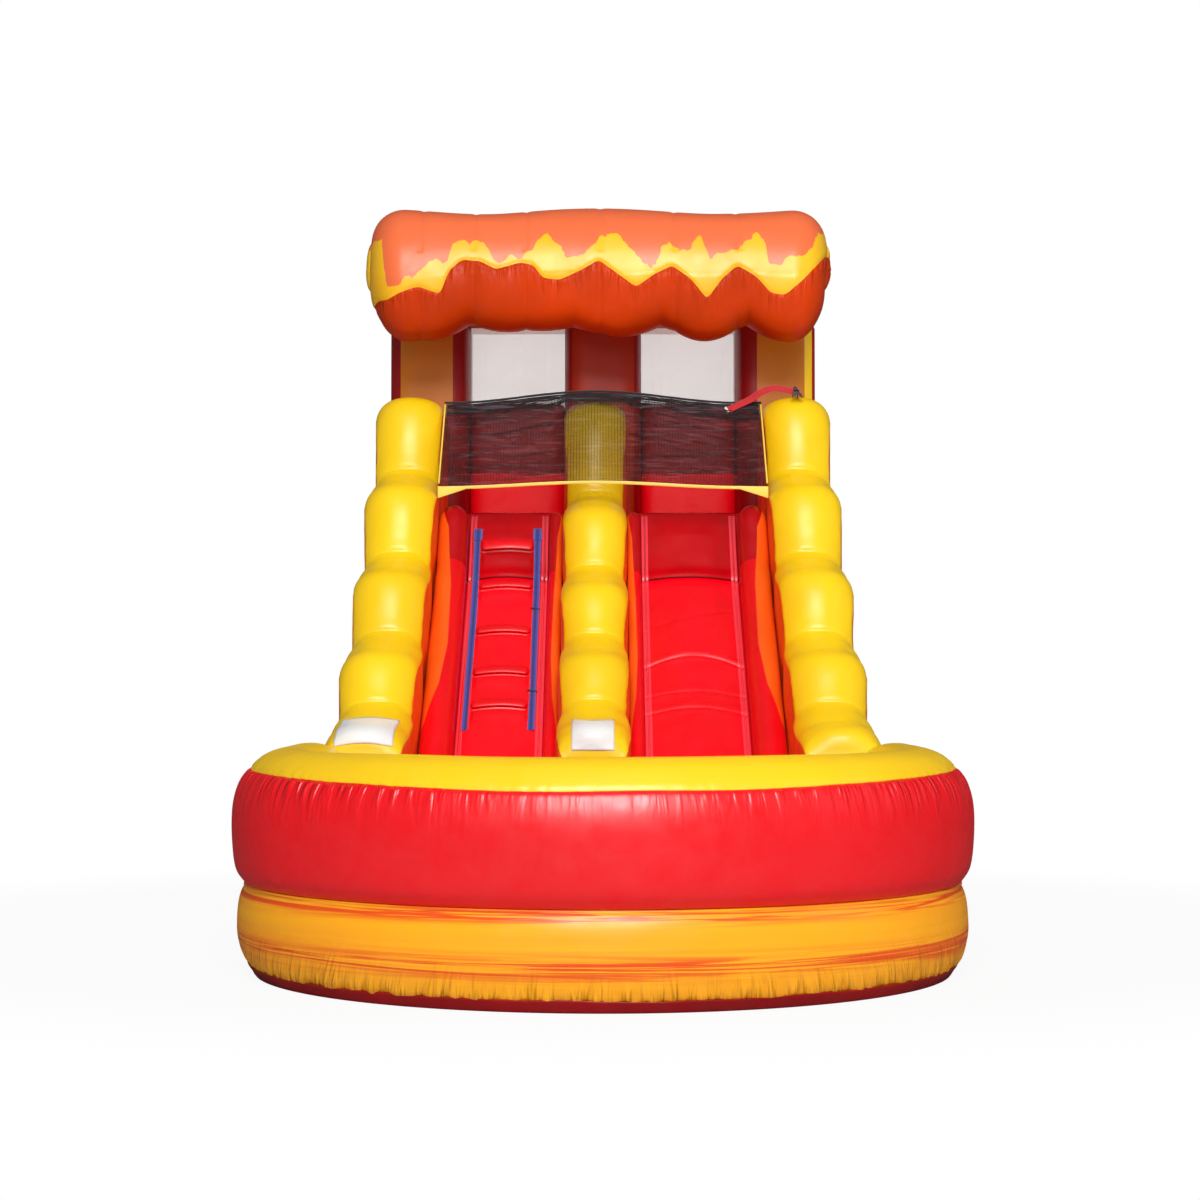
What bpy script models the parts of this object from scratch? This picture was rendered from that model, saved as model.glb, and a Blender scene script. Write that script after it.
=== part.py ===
"""Inflatable water slide: a climbing lane and a slide lane between stepped pillar walls,
a platform under a wave-shaped roof, and a splash pool. Metres, +Z up, pool towards -Y."""

import math

import bmesh
import bpy
from mathutils import Matrix, Vector

# Fits and skins
gap = 0.0003
cutter_overrun = 0.05
base_thickness = 0.02
chamber_wall = 0.03
chamber_cap = 0.08
column_wall = 0.045

# Splash pool, two stacked ring chambers on a base sheet
ring_centre_radius = 1.62
upper_ring_half_width = 0.30
lower_ring_half_width = 0.27
lower_ring_top = 0.472
upper_ring_top = 1.15
pool_straight = 0.79
ring_turns = 20
pool_hem = 0.012
lower_ring_shares = ((0.64, 0.0), (0.86, 0.12), (0.99, 0.38), (1.0, 0.62), (0.95, 0.86), (0.88, 1.0))
upper_ring_shares = (
    (0.79, 0.0), (0.94, 0.11), (1.0, 0.32), (1.0, 0.54), (0.93, 0.70),
    (0.80, 0.81), (0.52, 0.93), (0.26, 0.985), (0.0, 1.0),
)
lower_bore_shares = ((0.70, 0.10), (0.84, 0.36), (0.84, 0.88))
upper_bore_shares = ((0.76, 0.06), (0.87, 0.28), (0.86, 0.56), (0.66, 0.78), (0.30, 0.92))

# Stepped walls of swelling pillars
pillar_length = 0.775
wall_inner_x = 1.10
wall_outer_x = 1.58
wall_over_net = 0.04
wall_crest_shares = (0.397, 0.519, 0.670, 0.843, 1.0)
centre_wall_x = -0.055
centre_wall_width = 0.43
centre_wall_under_net = 0.01
centre_crest_shares = (0.404, 0.520, 0.651, 0.804, 1.0)
centre_top_pillar = 0.50
crest_dip = 0.05
side_recess = 0.050
inner_recess = 0.020
shoulder_width = 0.12
shoulder_drop = 0.19
outer_shoulder_extra = 0.06
top_shoulder_drop = 0.13
front_face_share = 0.84
peak_share = 0.40
top_peak_share = 0.29
centre_top_peak_share = 0.60
station_shares = (0.0, 0.03, 0.12, 0.29, 0.46, 0.72, 0.92)
hollow_shares = (0.12, 0.72)
shoulder_angles = (0, 30, 60, 90)

# Lanes: a nose in the pool, a long slope, a steeper top and the platform
nose_height = 0.2125
kink_run = 2.64
kink_height = 2.13
crest_run = 3.05
platform_height = 2.62
cover_thickness = 0.003
lane_margin = 0.05
outer_bolster_radius = 0.10
inner_bolster_radius = 0.045
bolster_low_run = 0.12
bolster_high_run = 3.02

# Climbing ladder
hand_strap_width = 0.048
hand_strap_thickness = 0.003
left_strap_x = -0.838
right_strap_x = -0.440
strap_low_run = 1.319
strap_high_run = 2.944
rung_radius = 0.030
rung_shares = (0.119, 0.292, 0.515, 0.768, 0.933)
tie_shares = (0.194, 0.641)
tie_length = 0.012
tie_thickness = 0.004
tie_overhang = 0.006

# Tower
body_depth = 4.85
column_depth = 0.70
column_outer_x = 1.55
column_width = 0.58
centre_column_width = 0.56
column_rounding = 0.07
roof_over_net = 0.67
rear_panel_over_net = 0.09
rear_panel_depth = 0.42
rear_panel_setback = 0.15
rear_panel_rounding = 0.03

# Roof, a curling wave pillow
roof_rise = 0.77
roof_half_width = 1.62
roof_front_overhang = 0.84
roof_end_rounding = 0.26
roof_end_depth_share = 0.42
roof_end_station_shares = (0.04, 0.15, 0.35, 0.65)
roof_centre_x = -0.03
roof_cavity_share = 0.85
roof_cavity_middle_shares = (0.5, 0.46)
air_passage = 0.24
lip_share = 0.6
lobe_drop = 0.11
lobe_edges_shares = (-1.0, -0.56, -0.11, 0.27, 0.64, 1.0)
lobe_depth_shares = (1.0, 0.35, 0.65, 0.90, 0.95)
lobe_stations = 5
crown_wave = 0.02
crown_start_share = 0.8
roof_section_shares = (
    (0.02, 0.0), (0.0, 0.16), (0.0, 0.42), (0.05, 0.68), (0.20, 0.88), (0.42, 0.98),
    (0.64, 1.0), (0.83, 0.88), (0.95, 0.64), (1.0, 0.35), (0.99, 0.07), (0.94, -0.09),
    (0.84, -0.15), (0.70, -0.09), (0.56, 0.0),
)
lobe_follow_shares = (0.0, 0.0, 0.0, 0.0, 0.0, 0.0, 0.0, 0.0, 0.1, 0.25, 0.6, 1.0, 1.0, 0.6, 0.0)

# Nets
net_hem_run = 2.70
hem_over_platform = 0.16
hem_over_kink = 0.40
net_top_run = 3.40
net_rise = 0.63
net_lift = 0.085
hem_lift_share = 0.45
net_lift_half_width = 0.50
net_thickness = 0.003
net_columns = 24
net_rows = 7
net_strand = 0.016
piping_radius = 0.006
piping_start_share = 0.03
top_rope_radius = 0.008
top_rope_gap = 0.002
hem_depth = 0.022
hem_thickness = 0.004
gusset_width = 0.19
gusset_depth = 0.085
window_columns = 8
window_rows = 5
window_strand = 0.012
net_strap_start_x = 0.86
net_strap_end_x = 1.36
net_strap_bend_x = 1.12
net_strap_rest_x = 1.19
net_strap_width = 0.040
net_strap_thickness = 0.005
keeper_x = 1.335
keeper_width = 0.014
keeper_length = 0.064
keeper_thickness = 0.004

# Blower inlet sleeve
sleeve_radius = 0.13
sleeve_wall = 0.004
sleeve_length = 0.65
sleeve_lift = 0.006
sleeve_sides = 20
sleeve_strap_place = 0.42
sleeve_strap_width = 0.030
sleeve_strap_thickness = 0.003

# Deflation zip
zip_height = 0.42
zip_tape_length = 0.50
zip_tape_width = 0.044
zip_tape_thickness = 0.002
zip_teeth_width = 0.008
zip_teeth_height = 0.003
slider_length = 0.022
slider_width = 0.014
slider_height = 0.007
slider_inset = 0.010
pull_length = 0.034
pull_width = 0.008
pull_thickness = 0.0025
flap_length = 0.56
flap_drop = 0.085
flap_thickness = 0.003
flap_bead_radius = 0.004
flap_hem_width = 0.030
flap_standoff = 0.018

# Anchor tabs and their D-rings
anchor_height = 0.17
patch_side = 0.10
patch_thickness = 0.004
ring_wire_radius = 0.004
ring_hole_clearance = 0.0007
ring_half_width = 0.028
ring_straight = 0.020
ring_arc_steps = 8
webbing_thickness = 0.003
webbing_half_width = 0.018
webbing_sides = 12

# Places that follow from the sizes
ring_outer_radius = ring_centre_radius + upper_ring_half_width
rear_reach = sleeve_length - rear_panel_setback + gap
total_length = ring_outer_radius + pool_straight + body_depth + rear_reach
front_y = -total_length / 2
pool_y = front_y + ring_outer_radius
body_front_y = pool_y + pool_straight
body_rear_y = body_front_y + body_depth
column_front_y = body_rear_y - column_depth
bed_rear_y = body_front_y + 4 * pillar_length
panel_rear_y = body_rear_y - rear_panel_setback
floor_z = base_thickness + gap
centre_wall_left = centre_wall_x - centre_wall_width / 2
centre_wall_right = centre_wall_x + centre_wall_width / 2
lane_angle = math.atan2(kink_height - nose_height, kink_run)
top_angle = math.atan2(platform_height - kink_height, crest_run - kink_run)
window_half = centre_column_width / 2
column_inner_x = column_outer_x - column_width
net_hem_height = max(platform_height + hem_over_platform, kink_height + hem_over_kink)
net_top_height = net_hem_height + net_rise
wall_height = net_top_height + wall_over_net
centre_wall_height = net_top_height - centre_wall_under_net
rear_panel_height = net_top_height + rear_panel_over_net
roof_base = net_top_height + roof_over_net
rear_bay_x = (window_half + column_inner_x) / 2

# How an outline's own plane stands when it is extruded along each world axis
outline_turns = {
    "X": Matrix(((0, 0, 1), (1, 0, 0), (0, 1, 0))),
    "Y": Matrix(((1, 0, 0), (0, 0, -1), (0, 1, 0))),
    "Z": Matrix(((1, 0, 0), (0, 1, 0), (0, 0, 1))),
}

for old in list(bpy.data.objects):
    bpy.data.objects.remove(old)

parts = bpy.data.collections.new("inflatable_water_slide")
cutters = bpy.data.collections.new("cutters")
bpy.context.scene.collection.children.link(parts)
bpy.context.scene.collection.children.link(cutters)


def vinyl(name, colour, roughness=0.38, metallic=0.0):
    material = bpy.data.materials.new(name)
    material.use_nodes = True
    shader = material.node_tree.nodes["Principled BSDF"]
    shader.inputs["Base Color"].default_value = (*colour, 1.0)
    shader.inputs["Roughness"].default_value = roughness
    shader.inputs["Metallic"].default_value = metallic
    return material


yellow = vinyl("yellow_vinyl", (1.0, 0.62, 0.01))
orange = vinyl("orange_vinyl", (0.95, 0.11, 0.01))
red = vinyl("red_vinyl", (0.78, 0.005, 0.01))
dark_red = vinyl("dark_red_vinyl", (0.30, 0.004, 0.01))
marble = vinyl("marbled_vinyl", (0.98, 0.38, 0.02))
flame = vinyl("flame_vinyl", (0.90, 0.14, 0.03))
blue = vinyl("blue_webbing", (0.02, 0.06, 0.36), 0.75)
black = vinyl("black_webbing", (0.012, 0.010, 0.012), 0.80)
pale = vinyl("pale_net", (0.74, 0.72, 0.69), 0.80)
steel = vinyl("steel", (0.60, 0.60, 0.60), 0.30, 1.0)


def add_object(name, bm, material, smooth_angle=40):
    """Puts a finished bmesh in the scene as one part."""
    bmesh.ops.recalc_face_normals(bm, faces=bm.faces)
    mesh = bpy.data.meshes.new(name)
    bm.to_mesh(mesh)
    bm.free()
    mesh.shade_smooth()
    mesh.set_sharp_from_angle(angle=math.radians(smooth_angle))
    obj = bpy.data.objects.new(name, mesh)
    if material is None:
        obj.hide_render = True
        obj.display_type = "WIRE"
        cutters.objects.link(obj)
    else:
        mesh.materials.append(material)
        parts.objects.link(obj)
    return obj


def cut(obj, cutter, operation="DIFFERENCE"):
    modifier = obj.modifiers.new(cutter.name, "BOOLEAN")
    modifier.operation = operation
    modifier.object = cutter


def box(name, low, high, material):
    """A box between two corners."""
    bm = bmesh.new()
    bmesh.ops.create_cube(bm, size=1.0)
    size = Vector(high) - Vector(low)
    middle = (Vector(high) + Vector(low)) / 2
    bmesh.ops.scale(bm, verts=bm.verts, vec=size)
    bmesh.ops.translate(bm, verts=bm.verts, vec=middle)
    return add_object(name, bm, material)


def loft(name, rings, material):
    """A skin through closed rings of equal count, capped at both ends."""
    bm = bmesh.new()
    rows = [[bm.verts.new(point) for point in ring] for ring in rings]
    for row, following in zip(rows, rows[1:]):
        for index in range(len(row)):
            after = (index + 1) % len(row)
            bm.faces.new((row[index], row[after], following[after], following[index]))
    bm.faces.new(rows[0])
    bm.faces.new(rows[-1])
    return add_object(name, bm, material)


def curve_object(name, points, cyclic=False):
    data = bpy.data.curves.new(name, "CURVE")
    data.dimensions = "3D"
    spline = data.splines.new("POLY")
    spline.points.add(len(points) - 1)
    for point, place in zip(spline.points, points):
        point.co = (*place, 1.0)
    spline.use_cyclic_u = cyclic
    return bpy.data.objects.new(name, data)


def as_mesh(source, name, material, turn=Matrix.Identity(4)):
    """The evaluated curve as a mesh part, with its caps welded on."""
    bpy.context.scene.collection.objects.link(source)
    graph = bpy.context.evaluated_depsgraph_get()
    mesh = bpy.data.meshes.new_from_object(source.evaluated_get(graph))
    bm = bmesh.new()
    bm.from_mesh(mesh)
    bmesh.ops.remove_doubles(bm, verts=bm.verts, dist=gap / 10)
    bmesh.ops.transform(bm, matrix=turn, verts=bm.verts)
    bpy.data.objects.remove(source)
    bpy.data.meshes.remove(mesh)
    return add_object(name, bm, material)


def prism(name, outline, low, high, axis, material):
    """An outline extruded straight along a world axis: it holds the other two coordinates."""
    source = curve_object(name + "_outline", [(*place, 0.0) for place in outline], cyclic=True)
    source.data.dimensions = "2D"
    source.data.fill_mode = "BOTH"
    source.data.extrude = (high - low) / 2
    middle = [0.0, 0.0, 0.0]
    middle["XYZ".index(axis)] = (low + high) / 2
    return as_mesh(source, name, material, Matrix.Translation(middle) @ outline_turns[axis].to_4x4())


def tube(name, points, radius, sides_resolution, material, cyclic=False):
    """A round tube along straight stretches between the points."""
    source = curve_object(name + "_path", points, cyclic)
    source.data.bevel_depth = radius
    source.data.bevel_resolution = sides_resolution
    source.data.use_fill_caps = True
    return as_mesh(source, name, material)


def swept_profile(name, points, profile, material):
    """A closed profile (sideways, up) carried along a level path."""
    outline = curve_object(name + "_profile", [(*place, 0.0) for place in profile], cyclic=True)
    outline.data.dimensions = "2D"
    outline.data.fill_mode = "NONE"
    source = curve_object(name + "_path", points)
    source.data.dimensions = "2D"
    source.data.bevel_mode = "OBJECT"
    source.data.bevel_object = outline
    source.data.use_fill_caps = True
    made = as_mesh(source, name, material)
    bpy.data.objects.remove(outline)
    return made


def pool_path(past):
    """The U of the pool ring, from one rear end round the front to the other."""
    end_y = body_front_y - gap + past
    radius = ring_centre_radius
    points = [(radius, end_y, 0.0)]
    for step in range(ring_turns + 1):
        angle = math.pi * step / ring_turns
        points.append((radius * math.cos(angle), pool_y - radius * math.sin(angle), 0.0))
    points.append((-radius, end_y, 0.0))
    return points


def ring_profile(shares, half_width, low, high):
    right = [(half_width * side, low + (high - low) * rise) for side, rise in shares]
    left = [(-side, rise) for side, rise in reversed(right) if side > 0]
    return right + left


def pool_ring(name, shares, bore_shares, half_width, low, high, material):
    """One ring chamber, hollow, with a passage in front to the other ring."""
    ring = swept_profile(name, pool_path(0.0), ring_profile(shares, half_width, low, high), material)
    bore_profile = ring_profile(bore_shares, half_width, low, high)
    cut(ring, swept_profile(name + "_bore", pool_path(-chamber_wall), bore_profile, None))
    half = air_passage / 2
    front = pool_y - ring_centre_radius
    passage = box(
        name + "_passage", (-half, front - half, lower_ring_top - half),
        (half, front + half, lower_ring_top + half), None,
    )
    cut(ring, passage)


def base_outline():
    """The pool's base sheet: straight behind, round in front, flush under the ring's outer foot."""
    radius = ring_centre_radius + lower_ring_half_width * lower_ring_shares[0][0] + pool_hem
    points = [(radius, body_front_y - gap)]
    for step in range(ring_turns + 1):
        angle = math.pi * step / ring_turns
        points.append((radius * math.cos(angle), pool_y - radius * math.sin(angle)))
    points.append((-radius, body_front_y - gap))
    return points


def make_pool():
    prism("pool_base", base_outline(), 0.0, base_thickness, "Z", red)
    pool_ring(
        "pool_lower_ring", lower_ring_shares, lower_bore_shares, lower_ring_half_width,
        floor_z, lower_ring_top, marble,
    )
    pool_ring(
        "pool_upper_ring", upper_ring_shares, upper_bore_shares, upper_ring_half_width,
        lower_ring_top + gap, upper_ring_top, red,
    )


def swell(share):
    """0 in the middle of a pillar, 1 at the crease with its neighbour."""
    return abs(2 * share - 1) ** 3


def dome(share, peak, front, crest, rear):
    """Height along one pillar's top, from its front crease over the crest to its rear crease."""
    if share < peak:
        side, foot = (peak - share) / peak, front
    else:
        side, foot = (share - peak) / (1 - peak), rear
    return foot + (crest - foot) * (1 - side ** 2.4) ** (1 / 2.4)


def wall_section(y, top, outer, inner, outer_drop, inner_drop):
    """Rounded shoulders on an upright wall: a ring from the outer foot over to the inner foot."""
    toward = 1 if outer > inner else -1
    ring = [(outer, y, floor_z)]
    for angle in shoulder_angles:
        turn = math.radians(angle)
        x = outer - toward * shoulder_width * (1 - math.cos(turn))
        ring.append((x, y, top - outer_drop * (1 - math.sin(turn))))
    for angle in reversed(shoulder_angles):
        turn = math.radians(angle)
        x = inner + toward * shoulder_width * (1 - math.cos(turn))
        ring.append((x, y, top - inner_drop * (1 - math.sin(turn))))
    ring.append((inner, y, floor_z))
    return ring


def pillar_edges(last_length):
    """Where the creases between pillars lie, front to rear."""
    edges = [body_front_y + index * pillar_length for index in range(5)]
    return edges + [edges[-1] + last_length]


def stepped_wall(name, outer, inner, recesses, extra, height, crest_shares, last_length, last_peak, material):
    """A wall of five pillars that step up, swelling between creases, hollow from below."""
    toward = 1 if outer > inner else -1
    edges = pillar_edges(last_length)
    crests = [height * share for share in crest_shares]
    creases = [crests[0] * front_face_share] + [crest - crest_dip for crest in crests]
    last = len(crests) - 1
    rings = []
    hollow = []
    for index in range(last + 1):
        peak = last_peak if index == last else peak_share
        shares = station_shares if index < last else station_shares + (1.0,)
        for share in shares:
            y = edges[index] + (edges[index + 1] - edges[index]) * share
            top = dome(share, peak, creases[index], crests[index], creases[index + 1])
            out = outer - toward * recesses[0] * swell(share)
            into = inner + toward * recesses[1] * swell(share)
            drop = top_shoulder_drop if index == last else shoulder_drop
            rings.append(wall_section(y, top, out, into, drop + extra, drop))
            if share in (0.0, 1.0) or share in hollow_shares:
                y = min(max(y, edges[0] + chamber_wall), edges[-1] - chamber_wall)
                roof = top - chamber_cap
                out -= toward * chamber_wall
                into += toward * chamber_wall
                hollow.append([
                    (out, y, -cutter_overrun), (out, y, roof - chamber_cap), (out - toward * chamber_cap, y, roof),
                    (into + toward * chamber_cap, y, roof), (into, y, roof - chamber_cap), (into, y, -cutter_overrun),
                ])
    wall = loft(name, rings, material)
    cut(wall, loft(name + "_hollow", hollow, None))


def make_walls():
    top_pillar = column_front_y - bed_rear_y - gap
    recesses = (side_recess, inner_recess)
    for name, side in (("left_wall", -1), ("right_wall", 1)):
        stepped_wall(
            name, side * wall_outer_x, side * wall_inner_x, recesses, outer_shoulder_extra,
            wall_height, wall_crest_shares, top_pillar, top_peak_share, yellow,
        )
    stepped_wall(
        "centre_wall", centre_wall_right, centre_wall_left, (inner_recess, inner_recess), 0.0,
        centre_wall_height, centre_crest_shares, centre_top_pillar, centre_top_peak_share, yellow,
    )


def lane_point(run, offset):
    """A point over the lane's surface at a distance back from its nose, lifted off along the normal."""
    if run <= kink_run:
        angle, height = lane_angle, nose_height + run * math.tan(lane_angle)
    else:
        angle, height = top_angle, kink_height + (run - kink_run) * math.tan(top_angle)
    y = body_front_y + run - offset * math.sin(angle)
    return y, height + offset * math.cos(angle)


def lane_path(low_run, high_run, offset):
    """The lane's surface between two runs, lifted by an offset, with one corner where it steepens."""
    half = (top_angle - lane_angle) / 2
    middle = lane_angle + half
    lift = offset / math.cos(half)
    corner = (
        body_front_y + kink_run - lift * math.sin(middle),
        kink_height + lift * math.cos(middle),
    )
    points = [lane_point(low_run, offset)]
    if low_run < kink_run < high_run:
        points.append(corner)
    points.append(lane_point(high_run, offset))
    return points


def lane_sheet(name, x_low, x_high, low_run, high_run, offset, thickness, material):
    """A sheet or strap that lies along the lane."""
    outline = lane_path(low_run, high_run, offset)
    outline += reversed(lane_path(low_run, high_run, offset + thickness))
    return prism(name, outline, x_low, x_high, "X", material)


def lower_bed_outline(inset, foot):
    """Side view of a bed's long slope: upright nose, slope and an upright rear at the seam."""
    front = body_front_y + inset
    rear = body_front_y + kink_run - gap - inset
    fall = inset / math.cos(lane_angle)
    nose = nose_height - fall + inset * math.tan(lane_angle)
    top = kink_height - fall - (gap + inset) * math.tan(lane_angle)
    return [(front, foot), (front, nose), (rear, top), (rear, foot)]


def upper_bed_outline(inset, foot):
    """Side view of a bed's steep top, from the seam to the short level lip."""
    front = body_front_y + kink_run + inset
    crest = body_front_y + crest_run
    rear = bed_rear_y - gap - inset
    low = kink_height - inset / math.cos(top_angle) + inset * math.tan(top_angle)
    high = platform_height - inset
    return [(front, foot), (front, low), (crest, high), (rear, high), (rear, foot)]


def make_bed(name, x_low, x_high):
    for suffix, outline in (("", lower_bed_outline), ("_top", upper_bed_outline)):
        bed = prism(name + suffix, outline(0.0, floor_z), x_low, x_high, "X", red)
        hollow = prism(
            name + suffix + "_hollow", outline(chamber_wall, -cutter_overrun),
            x_low + chamber_wall, x_high - chamber_wall, "X", None,
        )
        cut(bed, hollow)


def make_bolster(name, side_x, toward, radius):
    """A round side tube in the corner between a bed and a wall."""
    x = side_x + toward * (radius + gap)
    path = lane_path(bolster_low_run, bolster_high_run, radius + gap)
    tube(name, [(x, y, z) for y, z in path], radius, 2, orange)
    return x + toward * (radius + gap)


def make_lanes():
    left_x = -wall_inner_x + gap
    right_x = wall_inner_x - gap
    make_bed("climb_bed", left_x, centre_wall_left - gap)
    make_bed("slide_bed", centre_wall_right + gap, right_x)
    climb_low = make_bolster("climb_outer_bolster", left_x, 1, outer_bolster_radius)
    climb_high = make_bolster("climb_inner_bolster", centre_wall_left, -1, inner_bolster_radius)
    slide_low = make_bolster("slide_inner_bolster", centre_wall_right, 1, inner_bolster_radius)
    slide_high = make_bolster("slide_outer_bolster", right_x, -1, outer_bolster_radius)
    for name, low, high in (
        ("climb_cover", climb_low, climb_high),
        ("slide_cover", slide_low, slide_high),
    ):
        lane_sheet(name, low, high, lane_margin, crest_run, gap, cover_thickness, red)


def strap_run(share):
    return strap_low_run + (strap_high_run - strap_low_run) * share


def make_ladder():
    rest = cover_thickness + 2 * gap
    half = hand_strap_width / 2
    for name, x in (("left_hand_strap", left_strap_x), ("right_hand_strap", right_strap_x)):
        lane_sheet(
            name, x - half, x + half, strap_low_run, strap_high_run,
            rest, hand_strap_thickness, blue,
        )
    for number, share in enumerate(rung_shares, start=1):
        y, z = lane_point(strap_run(share), rest + rung_radius)
        low = left_strap_x + half + gap
        high = right_strap_x - half - gap
        tube(f"ladder_rung_{number}", [(low, y, z), (high, y, z)], rung_radius, 1, red)
    above = rest + hand_strap_thickness + gap
    for name, share in zip(("lower_strap_tie", "upper_strap_tie"), tie_shares):
        run = strap_run(share)
        lane_sheet(
            name, right_strap_x - half - tie_overhang, right_strap_x + half + tie_overhang,
            run, run + tie_length, above, tie_thickness, black,
        )


def platform_outline(inset):
    """Plan of the platform, notched round the centre wall's last pillar."""
    side = wall_inner_x - gap - inset
    front = bed_rear_y + inset
    rear = column_front_y - gap - inset
    notch_rear = bed_rear_y + centre_top_pillar + gap + inset
    left = centre_wall_left - gap - inset
    right = centre_wall_right + gap + inset
    return [
        (-side, front), (left, front), (left, notch_rear), (right, notch_rear),
        (right, front), (side, front), (side, rear), (-side, rear),
    ]


def make_platform():
    platform = prism("platform", platform_outline(0.0), floor_z, platform_height, "Z", red)
    hollow = prism(
        "platform_hollow", platform_outline(chamber_wall), -cutter_overrun,
        platform_height - chamber_wall, "Z", None,
    )
    cut(platform, hollow)


def rounded_box(name, low, high, rounding, material):
    obj = box(name, low, high, material)
    bevel = obj.modifiers.new("edges", "BEVEL")
    bevel.width = rounding
    bevel.segments = 3
    bevel.limit_method = "ANGLE"
    return obj


def upright_column(name, x_low, x_high, material):
    """A column chamber with round upright edges, open at the foot and into the roof above."""
    rounding = column_rounding
    corners = []
    centres = (
        (x_high - rounding, column_front_y + rounding, -90),
        (x_high - rounding, body_rear_y - rounding, 0),
        (x_low + rounding, body_rear_y - rounding, 90),
        (x_low + rounding, column_front_y + rounding, 180),
    )
    for x, y, start in centres:
        for step in range(4):
            angle = math.radians(start + step * 30)
            corners.append((x + rounding * math.cos(angle), y + rounding * math.sin(angle)))
    column = prism(name, corners, floor_z, roof_base - gap, "Z", material)
    middle = (x_low + x_high) / 2
    half = air_passage / 2
    passage_y = (column_front_y + body_rear_y) / 2
    hollow = box(
        name + "_hollow",
        (x_low + column_wall, column_front_y + column_wall, -cutter_overrun),
        (x_high - column_wall, body_rear_y - column_wall, roof_base - chamber_cap),
        None,
    )
    passage = box(
        name + "_passage",
        (middle - half, passage_y - half, roof_base - 2 * chamber_cap),
        (middle + half, passage_y + half, roof_base + cutter_overrun),
        None,
    )
    cut(column, hollow)
    cut(column, passage)
    return middle


def rear_panel(name, side):
    low, high = sorted((side * (window_half + gap), side * (column_inner_x - gap)))
    front = panel_rear_y - rear_panel_depth
    panel = rounded_box(
        name, (low, front, floor_z), (high, panel_rear_y, rear_panel_height),
        rear_panel_rounding, dark_red,
    )
    hollow = box(
        name + "_hollow",
        (low + column_wall, front + column_wall, -cutter_overrun),
        (high - column_wall, panel_rear_y - column_wall, rear_panel_height - column_wall),
        None,
    )
    cut(panel, hollow)


def make_tower():
    """Columns, rear panels and the middles of the columns, where the air passes to the roof."""
    middles = [
        upright_column("left_column", -column_outer_x, -column_inner_x, yellow),
        upright_column("centre_column", -window_half, window_half, orange),
        upright_column("right_column", column_inner_x, column_outer_x, yellow),
    ]
    rear_panel("left_rear_panel", -1)
    rear_panel("right_rear_panel", 1)
    return middles


def lobe_depth(share):
    """How far the roof's front lip hangs at a share of its half width: a row of unlike lobes."""
    for low, high, depth in zip(lobe_edges_shares, lobe_edges_shares[1:], lobe_depth_shares):
        if low <= share <= high:
            return depth * math.sin(math.pi * (share - low) / (high - low))
    return 0.0


def shrunk(share, middle):
    return middle + (share - middle) * roof_cavity_share


def roof_stations():
    """Shares of the roof's half width where its sections stand, closer together at the ends."""
    shares = []
    for low, high in zip(lobe_edges_shares, lobe_edges_shares[1:]):
        shares += [low + (high - low) * step / lobe_stations for step in range(lobe_stations)]
    shares.append(1.0)
    end = roof_end_rounding / roof_half_width
    added = [1 - end * part for part in roof_end_station_shares]
    return sorted(set(shares + added + [-share for share in added]))


def roof_section(share):
    depth = column_depth + roof_front_overhang
    inward = roof_half_width * (1 - abs(share))
    full = 1.0
    if inward < roof_end_rounding:
        part = 1 - inward / roof_end_rounding
        full = roof_end_depth_share + (1 - roof_end_depth_share) * math.sqrt(max(0.0, 1 - part * part))
    lobe = lobe_drop * lobe_depth(share)
    wave = crown_wave * math.cos(2 * math.pi * share)
    x = roof_centre_x + roof_half_width * share
    middle_y = body_rear_y - depth / 2
    middle_z = roof_base + roof_rise / 2
    ring = []
    for (back_share, rise_share), follow in zip(roof_section_shares, lobe_follow_shares):
        y = body_rear_y - depth * back_share
        z = roof_base + roof_rise * rise_share - lobe * follow
        if rise_share > crown_start_share:
            z += wave * (rise_share - crown_start_share) / (1 - crown_start_share) - crown_wave
        y = middle_y + (y - middle_y) * full
        if rise_share > 0 or back_share > lip_share or abs(x) > column_outer_x:
            z = middle_z + (z - middle_z) * full
        if back_share < lip_share and abs(x) <= column_outer_x:
            z = max(z, roof_base)
        ring.append((x, y, z))
    return ring


def make_roof(middles):
    """A pillow with a curling front lip in lobes, open to the columns below."""
    rings = [roof_section(share) for share in roof_stations()]
    roof = loft("wave_roof", rings, flame)
    depth = column_depth + roof_front_overhang
    outline = []
    for back_share, rise_share in roof_section_shares:
        if rise_share < 0:
            continue
        back = shrunk(back_share, roof_cavity_middle_shares[0])
        up = shrunk(rise_share, roof_cavity_middle_shares[1])
        outline.append((body_rear_y - depth * back, roof_base + roof_rise * up))
    side = roof_half_width - roof_end_rounding * roof_end_station_shares[-1]
    hollow = prism("wave_roof_hollow", outline, roof_centre_x - side, roof_centre_x + side, "X", None)
    cut(roof, hollow)
    half = air_passage / 2
    passage_y = (column_front_y + body_rear_y) / 2
    for number, middle in enumerate(middles):
        passage = box(
            f"wave_roof_passage_{number}",
            (middle - half, passage_y - half, roof_base - cutter_overrun),
            (middle + half, passage_y + half, roof_base + air_passage),
            None,
        )
        cut(roof, passage)


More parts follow.
